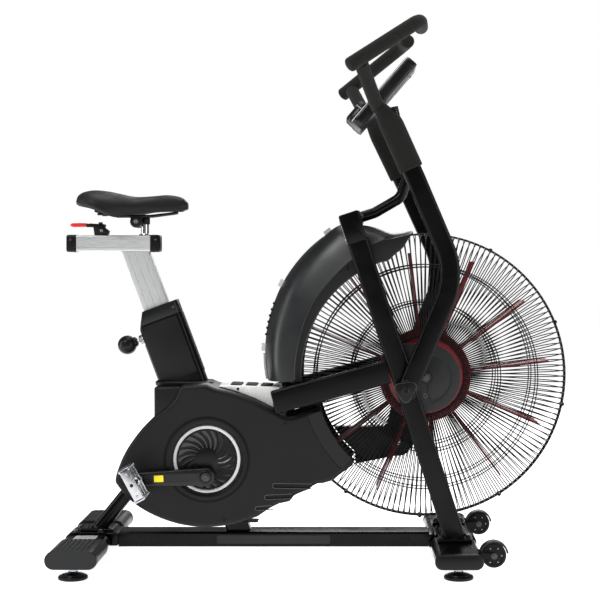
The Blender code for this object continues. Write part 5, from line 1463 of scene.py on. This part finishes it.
# Console
def console():
    """The housing, trim, face, glass, blank display and keys, and the pod below them."""
    low, high = Vector((0.1030, 0, 1.1420)), Vector((0.2520, 0, 1.3140))
    along = (high - low).normalized()
    up = Vector((-along.z, 0, along.x))
    total = (high - low).length

    def slab(name, a0, a1, half, h0, h1, radius, finish, bevel=0.0):
        middle = low + along * (a0 + a1) / 2
        section = rounded_rect(a1 - a0, 2 * half, radius, 6)
        rings = [[middle + along * a + ACROSS * b + up * h for a, b in section] for h in (h0, h1)]
        made = loft(name, rings, finish)
        return soften(made, bevel) if bevel else made

    pieces = [slab(*row) for row in (
        # name, start and end up the face, half width, back, front, corner radius, finish, edge
        ("housing", 0.0, total, 0.100, -0.017, 0.0145, 0.018, GUARD, 0.0060),
        ("trim", 0.0030, total - 0.0010, 0.0985, 0.0132, 0.0156, 0.015, SILVER, 0.0008),
        ("face", 0.0050, total - 0.0050, 0.0950, 0.0150, 0.0168, 0.012, DARK, 0.0006),
        ("glass", 0.0900, total - 0.0150, 0.0840, 0.0160, 0.0172, 0.006, GLASS, 0.0003),
        ("display", 0.1020, total - 0.0260, 0.0720, 0.0171, 0.0174, 0.003, SCREEN),
    )]
    for row, count in enumerate((3, 3, 2)):
        for column in range(count):
            reach = 0.018 + row * 0.021
            middle = (column - (count - 1) / 2) * 0.052
            key = [[low + along * (reach + a) + ACROSS * (middle + b) + up * h
                    for a, b in rounded_rect(0.012 * s, 0.038 * s, 0.0050 * s)]
                   for h, s in ((0.0166, 1.0), (0.0176, 1.0), (0.0181, 0.93))]
            pieces.append(loft("key", key, TRIM if row else PLATE))
    pod = [[low + along * a + ACROSS * b + up * (c + 0.010)
            for b, c in rounded_rect(0.120 * s, 0.050 * s, 0.018, 6)]
           for a, s in ((-0.0010, 0.80), (0.0010, 0.90), (0.0050, 0.97), (0.0100, 1.0), (0.0560, 1.0),
                        (0.0620, 0.96))]
    pieces.append(loft("pod", pod, GUARD))
    band = [[low + along * a + ACROSS * b + up * (c + 0.010)
             for b, c in rounded_rect(0.1212, 0.0512, 0.0185, 6)]
            for a in (0.0450, 0.0466)]
    pieces.append(loft("pod_band", band, SILVER))
    for a in (0.100, total - 0.018):
        for b in (0.075, -0.075):
            pieces.append(screw("back_screw", low + along * a + ACROSS * b - up * 0.0170, -up, 0.0035))
    pieces.append(slab("back_trim", 0.0015, total - 0.0015, 0.0984, -0.0168, -0.0150, 0.014, DARK, 0.0006))
    show(join("console_housing", *pieces), "frame", "moulded_plastic", "console")


def console_mast():
    """The bent tube that carries the console, on its bolted flange."""
    bends = [(0.105, 0, 0.9020), (0.155, 0, 0.9180), (0.224, 0, 0.9580), (0.2440, 0, 1.0200),
             (0.2030, 0, 1.1990)]
    path = rounded_path(bends, 0.040, 12)
    tube = sweep("mast", path, circle(0.0145, 28), STEEL, sharp=60)
    foot = HEAD + UPRIGHT_FORE * 0.0272
    flange = [[foot + UPRIGHT_FORE * f + ACROSS * a + UPRIGHT_UP * (b + 0.022)
               for a, b in rounded_rect(0.072, 0.036, 0.006)]
              for f in (0.0002, 0.0042)]
    pieces = [tube, loft("flange", flange, STEEL)]
    for side in (-1, 1):
        spot = foot + UPRIGHT_FORE * 0.0044 + ACROSS * side * 0.027 + UPRIGHT_UP * 0.022
        pieces.append(hex_bolt("flange_bolt", spot, UPRIGHT_FORE, 0.010))
    show(join("mast_tube", *pieces), "frame", "frame_steel", "console_mast")


# Frame tubes
def upright(word, side):
    """The upright with its base plate, bolts and the end of the stub's bearing."""
    shift = ACROSS * side * UPRIGHT_Y
    top = HEAD - UPRIGHT_UP * 0.0403
    ring = [UPRIGHT_FORE * a + ACROSS * b + shift for a, b in rounded_rect(0.054, 0.030, 0.0075, 7)]
    lower = onto_plane([UPRIGHT_FOOT + v for v in ring], UPRIGHT_UP, UPRIGHT_FOOT, UP)
    tube = loft("tube", [lower, [top + v for v in ring]], STEEL, 50)
    # a window in the inner face, for the lever and its link
    tip = PIVOT + UPRIGHT_UP * LEVER_LENGTH
    window = side_view([tip - SIDE_ALONG * 0.045 + SIDE_UP * h for h in (-0.013, 0.013)])
    window += [(tip.x, tip.z + 0.013), (tip.x, tip.z - 0.013)]
    cut(tube, prism("window", window, *span(side, 0.1105, 0.1310), STEEL))
    tube_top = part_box("front_stabilizer")[1].z + 0.0003
    floor = min(tube_top, 0.0655)
    low, high = span(side, 0.099, 0.143)
    plate_low = (FRONT_TUBE_X - 0.045, low, floor)
    plate_high = (FRONT_TUBE_X + 0.045, high, floor + 0.0085)
    pieces = [tube, cuboid("plate", plate_low, plate_high, STEEL, 0.0018)]
    for x in (-0.036, 0.037):
        spot = (FRONT_TUBE_X + x, side * UPRIGHT_Y, floor + 0.0097)
        pieces.append(hex_bolt("plate_bolt", spot, UP, 0.012))
    weld = [[UPRIGHT_FOOT + UP * (-0.0725 + floor + h) + v * g + shift * (1 - g) for v in ring]
            for h, g in ((0.0080, 1.14), (0.0110, 1.08), (0.0135, 1.0))]
    pieces.append(loft("weld", weld, STEEL))
    bearing = [(0.0122, 0.0), (0.0225, 0.0), (0.0235, 0.0008), (0.0225, 0.0018), (0.0122, 0.0018)]
    pieces.append(turned("bearing", bearing, at_y(PIVOT, side * 0.1361), ACROSS * side,
                         ZINC, 40, ring=True))
    show(join("upright_tube_" + word, *pieces), "frame", "frame_steel", "upright_" + word)


def head_box():
    """The box across the two uprights, with four screws in its back."""
    section = rounded_rect(0.054, 0.080, 0.006, 6)
    ends = ((-0.1400, 0.93), (-0.1390, 0.975), (-0.1365, 1.0), (0.1365, 1.0), (0.1390, 0.975),
            (0.1400, 0.93))
    rings = [[HEAD + UPRIGHT_FORE * a * size + UPRIGHT_UP * b * size + ACROSS * y for a, b in section]
             for y, size in ends]
    pieces = [loft("box", rings, STEEL)]
    for side in (-1, 1):
        for b in (-0.024, 0.024):
            spot = HEAD + UPRIGHT_UP * b - UPRIGHT_FORE * 0.0272 + ACROSS * side * 0.118
            pieces.append(screw("box_screw", spot, -UPRIGHT_FORE, 0.0045, ZINC))
    show(join("head_tube", *pieces), "frame", "frame_steel", "head_box")


def side_frame():
    """The two side tubes, with plugs in their rear ends, and the flat bar that joins them."""
    front = UPRIGHT_FOOT + UPRIGHT_UP * ((0.505 - UPRIGHT_FOOT.z) / UPRIGHT_UP.z) - UPRIGHT_FORE * 0.0273
    pieces = []
    for side in (-1, 1):
        shift = ACROSS * side * UPRIGHT_Y
        ring = [ACROSS * a + SIDE_UP * b + shift for a, b in rounded_rect(0.030, 0.060, 0.0075, 7)]
        upper = onto_plane([SIDE_REAR + SIDE_ALONG * 0.31 + v for v in ring], SIDE_ALONG,
                           front, UPRIGHT_FORE)
        pieces.append(loft("tube", [[SIDE_REAR + v for v in ring], upper], STEEL, sharp=50))
        plug = [[SIDE_REAR + SIDE_ALONG * s + (v - shift) * g + shift for v in ring]
                for s, g in ((-0.0028, 0.90), (-0.0022, 0.965), (-0.0008, 0.985), (0.0010, 0.985))]
        pieces.append(loft("plug", plug, DARK))
    pieces.append(cuboid("bar", (-0.1055, -0.1075, 0.4020), (-0.0935, 0.1075, 0.4440), STEEL, 0.0020))
    for side in (-1, 1):
        for z in (0.412, 0.434):
            pieces.append(hex_bolt("bar_bolt", (-0.1058, side * 0.080, z), (-1, 0, 0), 0.010))
    show(join("side_tubes", *pieces), "frame", "frame_steel", "side_frame")


# Base
def main_beam():
    """The beam along the floor, with a blank label panel and two screws on each side."""
    low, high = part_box("main_beam")
    middle = (low + high) / 2
    wide, tall = high.y - low.y, high.z - low.z
    path = [(low.x, 0, middle.z), (high.x, 0, middle.z)]
    pieces = [sweep("beam_tube", path, rounded_rect(wide, tall, 0.0055, 7), STEEL, sharp=50)]
    for side in (-1, 1):
        rings = [[Vector((middle.x + a, side * (wide / 2 + h), middle.z + b))
                  for a, b in rounded_rect(length, 0.022, 0.004)]
                 for h, length in ((-0.0003, 0.300), (0.0005, 0.299))]
        pieces.append(loft("plain_label", rings, GUARD))
    for x in (low.x + 0.055, high.x - 0.055):
        for side in (-1, 1):
            pieces.append(screw("beam_screw", (x, side * wide / 2, middle.z), ACROSS * side, 0.0050))
    show(join("beam", *pieces), "frame", "frame_steel", "main_beam")


def stabilizer(name, node, x, z, toward):
    """A flat oval tube across the bike, and the clamp that hugs it, with four bolts into the beam."""
    section = rounded_rect(TUBE_DEEP, TUBE_TALL, 0.0178, 10)
    tube = loft("tube", rings_along([(x, -0.292, z), (x, 0.292, z)], section, (1, 0, 0)), STEEL, 50)
    clamp = [(a, b) for a, b in rounded_rect(0.126, 0.044, 0.0210, 10) if b > -0.012]
    ends = ((-0.0500, 0.985), (-0.0480, 1.0), (0.0480, 1.0), (0.0500, 0.985))
    rings = [[Vector((x + a * size, y, z + b * size)) for a, b in clamp] for y, size in ends]
    pieces = [tube, loft("clamp", rings, STEEL)]
    edge = {1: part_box("main_beam")[0].x - 0.0003, -1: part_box("main_beam")[1].x + 0.0003}[toward]
    low_x, high_x = sorted((x + toward * 0.045, edge))
    end_low, end_high = (low_x, -0.0500, z - 0.012), (high_x, 0.0500, z + 0.022)
    pieces.append(cuboid("clamp_end", end_low, end_high, STEEL, 0.0025))
    for side in (-1, 1):
        for a in (-0.034, 0.030):
            pieces.append(hex_bolt("clamp_bolt", (x + a, side * 0.034, z + 0.0222), UP, 0.0120))
    show(join(name, *pieces), "frame", "frame_steel", node)


def front_ends():
    """The smooth plugs that close the ends of the front tube."""
    pieces = []
    for side in (-1, 1):
        rings = []
        for y, size in ((0.2860, 1.022), (0.2925, 1.022), (0.2950, 0.99), (0.2965, 0.92)):
            section = rounded_rect(TUBE_DEEP * size, TUBE_TALL * size + 0.0010, 0.0175 * size, 10)
            rings.append([Vector((FRONT_TUBE_X + a, side * y, FRONT_TUBE_Z + b)) for a, b in section])
        pieces.append(loft("end", rings, DARK))
    show(join("front_plugs", *pieces), "frame", "moulded_plastic")


def rear_cap(word, side):
    """A plastic sleeve with lengthwise grooves on top and a smooth rimmed end."""
    width, radius = 0.129, 0.0222
    plain = rounded_rect(width, 0.045, radius, 12)
    flat_half = width / 2 - radius
    ribbed = []
    for point in plain:
        ribbed.append(point)
        if abs(point[0] - flat_half) < 1e-6 and point[1] > 0.02:
            for i in range(7):
                spot = flat_half - 0.0055 - i * (2 * flat_half - 0.011) / 6
                for step, depth in ((0.0020, 0), (0.0012, 0.0016), (-0.0012, 0.0016), (-0.0020, 0)):
                    ribbed.append((spot + step, point[1] - depth))

    def sleeve(name, section, ends):
        rings = [[Vector((REAR_TUBE_X + a * s, side * y, REAR_TUBE_Z + b * s)) for a, b in section]
                 for y, s in ends]
        return loft(name, rings, PLATE, 25)

    pieces = [sleeve("ribbed", ribbed, ((0.1300, 0.985), (0.1312, 1.0), (0.2780, 1.0)))]
    pieces.append(sleeve("end", plain, ((0.2775, 1.008), (0.2790, 1.014), (0.2920, 1.012), (0.2940, 0.995),
                                        (0.2950, 0.955), (0.2944, 0.935), (0.2944, 0.60))))
    show(join("rear_sleeve_" + word, *pieces), "frame", "moulded_plastic", "rear_cap_" + word)


def rear_label():
    """A blank riveted plate on the rear tube."""
    levels = ((-0.0008, 1.0), (0.0006, 1.0), (0.0009, 0.985))
    rings = [[Vector((REAR_TUBE_X + a, -0.112 + b, REAR_TUBE_Z + 0.0180 + h))
              for a, b in rounded_rect(0.058 * s, 0.088 * s, 0.004)] for h, s in levels]
    pieces = [loft("plate", rings, SILVER)]
    for a in (-0.024, 0.024):
        for y in (-0.150, -0.074):
            pieces.append(screw("rivet", (REAR_TUBE_X + a, y, 0.0702), UP, 0.0020, ZINC))
    show(join("blank_plate", *pieces), "frame", "zinc_steel")


def rear_strut():
    """The oval strut from the beam up to the seat tube, with its foot and weld."""
    top = REAR_TUBE_Z + 0.018 + 0.0043
    start, end = Vector((-0.583, 0, top)), Vector((-0.375, 0, 0.330))
    stretch = (end - start).length / (end - start).z
    oval = [(0.0185 * stretch * math.cos(t), 0.0150 * math.sin(t))
            for t in (2 * math.pi * i / 40 for i in range(40))]
    foot_levels = ((0.0005, 1.0), (0.0046, 1.0), (0.0056, 0.97))
    weld_levels = ((0.0050, 1.16), (0.0080, 1.08), (0.0105, 1.0))
    pieces = [loft("strut", [[p + Vector((a, b, 0)) for a, b in oval] for p in (start, end)], STEEL, 60)]
    pieces.append(loft("foot", flat_stack(start, rounded_rect(0.088, 0.062, 0.010), foot_levels), STEEL))
    pieces.append(loft("weld", flat_stack(start, oval, weld_levels), STEEL))
    show(join("strut_tube", *pieces), "frame", "frame_steel", "rear_strut")


def foot(node):
    """A disc with a treaded edge on a stud, with a zinc nut."""
    low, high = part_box(node)
    spot = Vector(((low.x + high.x) / 2, (low.y + high.y) / 2, low.z))
    radius = (high.x - low.x) / 2
    disc = [(0, 0), (radius - 0.0020, 0), (radius, 0.0014), (radius, 0.0066), (radius - 0.0016, 0.0086),
            (radius * 0.80, 0.0096), (radius * 0.76, 0.0120), (radius * 0.50, 0.0138),
            (radius * 0.34, 0.0160), (radius * 0.32, 0.0190), (0, 0.0190)]
    pieces = [turned("disc", disc, spot, UP, DARK, 56)]
    for i in range(3):
        height = 0.0022 + i * 0.0016
        pieces.append(torus("tread", spot + UP * height, radius - 0.0003, 0.00055, RUBBER, UP, 56, 8))
    pieces.append(rod("stud", spot + UP * 0.0185, spot + UP * (high.z - low.z), 0.0050, ZINC, 24))
    for i in range(4):
        height = 0.0200 + i * 0.0016
        pieces.append(torus("thread", spot + UP * height, 0.0050, 0.0005, ZINC, UP, 24, 6))
    nut = [(0, 0), (0.0105, 0), (0.0112, 0.0008), (0.0112, 0.0056), (0.0100, 0.0066), (0, 0.0066)]
    pieces.append(turned("nut", nut, spot + UP * 0.0190, UP, ZINC, 6, sharp=20))
    show(join(node + "_pad", *pieces), node, "moulded_plastic", node)


def transport_wheel(word):
    """A grooved rubber tyre with recessed faces and a ring of rivets."""
    low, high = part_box("transport_wheel_" + word)
    middle = (low + high) / 2
    radius, half = (high.x - low.x) / 2, (high.y - low.y) / 2
    face = [(0.0054, -half), (0.0165, -half), (0.0172, -half + 0.0022), (0.0225, -half + 0.0022),
            (0.0240, -half), (radius - 0.0035, -half), (radius - 0.0008, -half + 0.0014),
            (radius, -half + 0.0040)]
    tyre = list(face)
    for y in (-0.0048, 0.0, 0.0048):
        tyre += [(radius, y - 0.0009), (radius - 0.0012, y - 0.0005), (radius - 0.0012, y + 0.0005),
                 (radius, y + 0.0009)]
    tyre += [(r, -h) for r, h in reversed(face)]
    pieces = [turned("tyre", tyre, middle, ACROSS, RUBBER, 64, ring=True)]
    for way in (-1, 1):
        for i in range(6):
            spot = middle + outward(2 * math.pi * i / 6) * 0.0195 + ACROSS * way * (half - 0.0022)
            pieces.append(screw("rivet", spot, ACROSS * way, 0.0017, ZINC))
    show(join("tyre_" + word, *pieces), "wheel_" + word, "rubber", "transport_wheel_" + word)


def wheel_bracket(word):
    """The fork that carries a transport wheel, with a fender over the wheel and an axle bolt."""
    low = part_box("wheel_bracket_" + word)[0]
    wheel_low, wheel_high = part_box("transport_wheel_" + word)
    axle = (wheel_low + wheel_high) / 2
    radius = (wheel_high.x - wheel_low.x) / 2
    half_in = (wheel_high.y - wheel_low.y) / 2 + 0.0008
    outline = hull(Vector((low.x + 0.006, 0, axle.z + 0.004)), 0.0110, at_y(axle, 0), 0.0090)
    outline = [(max(x, low.x), z) for x, z in outline]
    pieces = []
    for way in (-1, 1):
        near, far = sorted((axle.y + way * half_in, axle.y + way * (half_in + 0.0030)))
        pieces.append(prism("cheek", outline, near, far, STEEL, 0.0008))
        spot = at_y(axle, axle.y + way * (half_in + 0.0040))
        pieces.append(hex_bolt("axle_bolt", spot, ACROSS * way, 0.0100))
    ends = [at_y(axle, axle.y + way * (half_in + 0.003)) for way in (-1, 1)]
    pieces.append(rod("axle", ends[0], ends[1], 0.0050, ZINC))
    section = [(radius + 0.0016, -half_in), (radius + 0.0054, -half_in),
               (radius + 0.0064, -half_in + 0.0040), (radius + 0.0064, half_in - 0.0040),
               (radius + 0.0054, half_in), (radius + 0.0016, half_in)]
    rings = []
    for i in range(25):
        out = outward(math.radians(10 + 150 * i / 24))
        rings.append([axle + out * r + ACROSS * y for r, y in section])
    pieces.append(loft("fender", rings, GUARD))
    show(join("wheel_fork_" + word, *pieces), "frame", "frame_steel", "wheel_bracket_" + word)


# Cranks and pedals
CRANK_DROP = math.radians(1.7)
CRANK_LENGTH = 0.175
CRANK_FACE = 0.1300
PEDAL_Y = 0.190
PEDAL_PITCH = math.radians(-62)


def pedal_axis(side):
    """The middle line of a pedal's spindle, in the side view."""
    return CRANK + outward(CRANK_DROP) * CRANK_LENGTH * side


def crank_arm(word, side):
    """The arm: bevelled, with a recessed flute down its face, a hub bolt and the pedal's spindle."""
    axis = pedal_axis(side)
    along = (axis - CRANK).normalized()
    arm = prism("arm", hull(CRANK, 0.0230, axis, 0.0165, 22), *span(side, 0.1060, CRANK_FACE), GUARD)
    soften(arm, 0.0042, 4)
    flute = hull(CRANK + along * 0.040, 0.0100, CRANK + along * 0.148, 0.0080)
    cut(arm, prism("flute", flute, *span(side, 0.1288, 0.14), GUARD))
    face = side * CRANK_FACE
    cup = [(0.0100, -0.0004), (0.0165, -0.0004), (0.0168, 0.0010), (0.0150, 0.0022), (0.0110, 0.0022),
           (0.0100, 0.0012)]
    pieces = [arm, turned("cup", cup, at_y(CRANK, face), ACROSS * side, DARK, 40, ring=True)]
    pieces.append(hex_bolt("hub_bolt", at_y(CRANK, face + side * 0.0008), ACROSS * side, 0.0145))
    pieces.append(rod("spindle", at_y(axis, side * 0.120), at_y(axis, side * 0.2290), 0.0060, ZINC))
    collar = [(0.0060, 0.0), (0.0118, 0.0), (0.0122, 0.0008), (0.0122, 0.0072), (0.0110, 0.0082),
              (0.0060, 0.0082)]
    pieces.append(turned("collar", collar, at_y(axis, face), ACROSS * side, ZINC, 32, ring=True))
    if side < 0:
        spot = CRANK + along * 0.1210
        rings = [[spot + along * a * s + Vector((-along.z, 0, along.x)) * b * s + ACROSS * y
                  for a, b in rounded_rect(0.0240, 0.0205, 0.0015, 3)]
                 for y, s in ((-0.1282, 1.0), (-0.1294, 1.0), (-0.1296, 0.98))]
        pieces.append(loft("plain_sticker", rings, YELLOW))
    show(join("crank_" + word, *pieces), "crank", "moulded_plastic", "crank_arm_" + word)


def pedal(word, side):
    """A platform pedal: two plates with toothed edges joined by bolts, on a barrel."""
    middle = at_y(pedal_axis(side), side * PEDAL_Y)
    along = outward(PEDAL_PITCH)
    up = Vector((-along.z, 0, along.x))

    def bar(name, a_ends, b_ends, half_height, bevel):
        (a0, a1), (b0, b1) = a_ends, b_ends
        rings = [[middle + along * a + ACROSS * b + up * h
                  for a, b in ((a0, b0), (a1, b0), (a1, b1), (a0, b1))]
                 for h in (-half_height, half_height)]
        return soften(loft(name, rings, PEDAL_ALLOY), bevel)

    tooth = [(0, 0), (0.0030, 0), (0.0020, 0.0015), (0, 0.0015)]
    pieces = []
    for way in (-1, 1):
        pieces.append(bar("cage_bar", span(way, 0.0375, 0.0460), (-0.0430, 0.0430), 0.0150, 0.0022))
        for i in range(5):
            for h in (-1, 1):
                spot = middle + along * way * 0.0418 + ACROSS * (-0.034 + i * 0.017) + up * h * 0.0145
                pieces.append(turned("tooth", tooth, spot, up * h, PEDAL_ALLOY, 12))
        pieces.append(bar("cage_end", (-0.0440, 0.0440), span(way, 0.0380, 0.0430), 0.0125, 0.0018))
        pieces.append(bar("plate", (-0.0385, 0.0385), span(way, 0.0120, 0.0170), 0.0100, 0.0012))
        for a in (-0.0300, 0.0300):
            spot = middle + along * a + ACROSS * way * 0.0430
            pieces.append(screw("pedal_bolt", spot, ACROSS * way, 0.0036, ZINC))
    barrel = [(0.0066, -0.0410), (0.0105, -0.0410), (0.0120, -0.0395), (0.0120, -0.0120), (0.0100, -0.0100),
              (0.0100, 0.0100), (0.0120, 0.0120), (0.0120, 0.0395), (0.0105, 0.0410), (0.0066, 0.0410)]
    pieces.append(turned("barrel", barrel, middle, ACROSS, PEDAL_ALLOY, 40, ring=True))
    cap = [(0, 0), (0.0100, 0), (0.0095, 0.0016), (0.0040, 0.0026), (0, 0.0026)]
    pieces.append(turned("end_cap", cap, middle + ACROSS * side * 0.0405, ACROSS * side, DARK, 32))
    show(join("pedal_" + word + "_cage", *pieces), "pedal_" + word, "zinc_steel", "pedal_" + word)


def drive_cover():
    """The spoked cap at the left end of the jackshaft."""
    middle = Vector((0.220, 0, 0.297))
    face = 0.1056
    rim = [(0.0100, 0.0), (0.0140, 0.0), (0.0140, 0.0024), (0.0128, 0.0030), (0.0110, 0.0030),
           (0.0100, 0.0020)]
    pieces = [turned("cap_rim", rim, at_y(middle, face), ACROSS, PLATE, 40, ring=True)]
    spot = at_y(middle, face + 0.0012)
    for i in range(6):
        out = outward(math.radians(60 * i))
        pieces.append(rod("spoke", spot + out * 0.0020, spot + out * 0.0108, 0.0012, PLATE, 8))
    show(join("jack_cap", *pieces), "frame", "moulded_plastic")


# The finer material of a CAD node. It shows on the nodes that no piece replaces. All others get STEEL.
CARRIED = {
    "seat_tube": STEEL, "crank_axle": ZINC, "drive_pulley": DARK, "jackshaft": ZINC, "fan_axle": BRASS,
    "first_belt": RUBBER, "second_belt": RUBBER, "drive_guard": DARK, "hub_plate_left": DARK,
    "saddle_carriage": ZINC, "link_rod_right": STEEL, "link_rod_left": STEEL, "side_frame": STEEL,
    "rail_cap_front": DARK, "rail_cap_rear": DARK, "slider_rail": ALUMINIUM_RAIL, "seat_post": ALUMINIUM,
    "saddle": LEATHER, "arm_foam_right": FOAM, "arm_foam_left": FOAM, "grip_right": FOAM, "grip_left": FOAM,
    "pedal_right": PEDAL_ALLOY, "pedal_left": PEDAL_ALLOY, "seat_lever": DARK, "height_knob": DARK,
}


def finish_carried_nodes():
    """Gives every CAD node its finer material."""
    for name, node in frame["nodes"].items():
        for place in node.material_slots:
            place.material = CARRIED.get(name, STEEL)


def build():
    finish_carried_nodes()
    for word, side in SIDES:
        for make in (cage_half, wind_guard, shroud, handle_arm, arm_foam, grip, upright, rear_cap):
            make(word, side)
        foot("foot_rear_" + word)
        foot("foot_front_" + word)
        transport_wheel(word)
        wheel_bracket(word)
        crank_arm(word, side)
        pedal(word, side)
    head_box()
    side_frame()
    main_beam()
    stabilizer("rear_tube", "rear_stabilizer", REAR_TUBE_X, REAR_TUBE_Z, 1)
    stabilizer("front_tube", "front_stabilizer", FRONT_TUBE_X, FRONT_TUBE_Z, -1)
    for make in (front_ends, rear_label, rear_strut, drive_cover, fan, right_hub_plate, wind_trim,
                 shroud_extras, middle_cover, seat_sleeve, seat_post, slider_rail, carriage,
                 saddle_frame, saddle, seat_lever, height_knob, console, console_mast):
        make()


build()
studio()
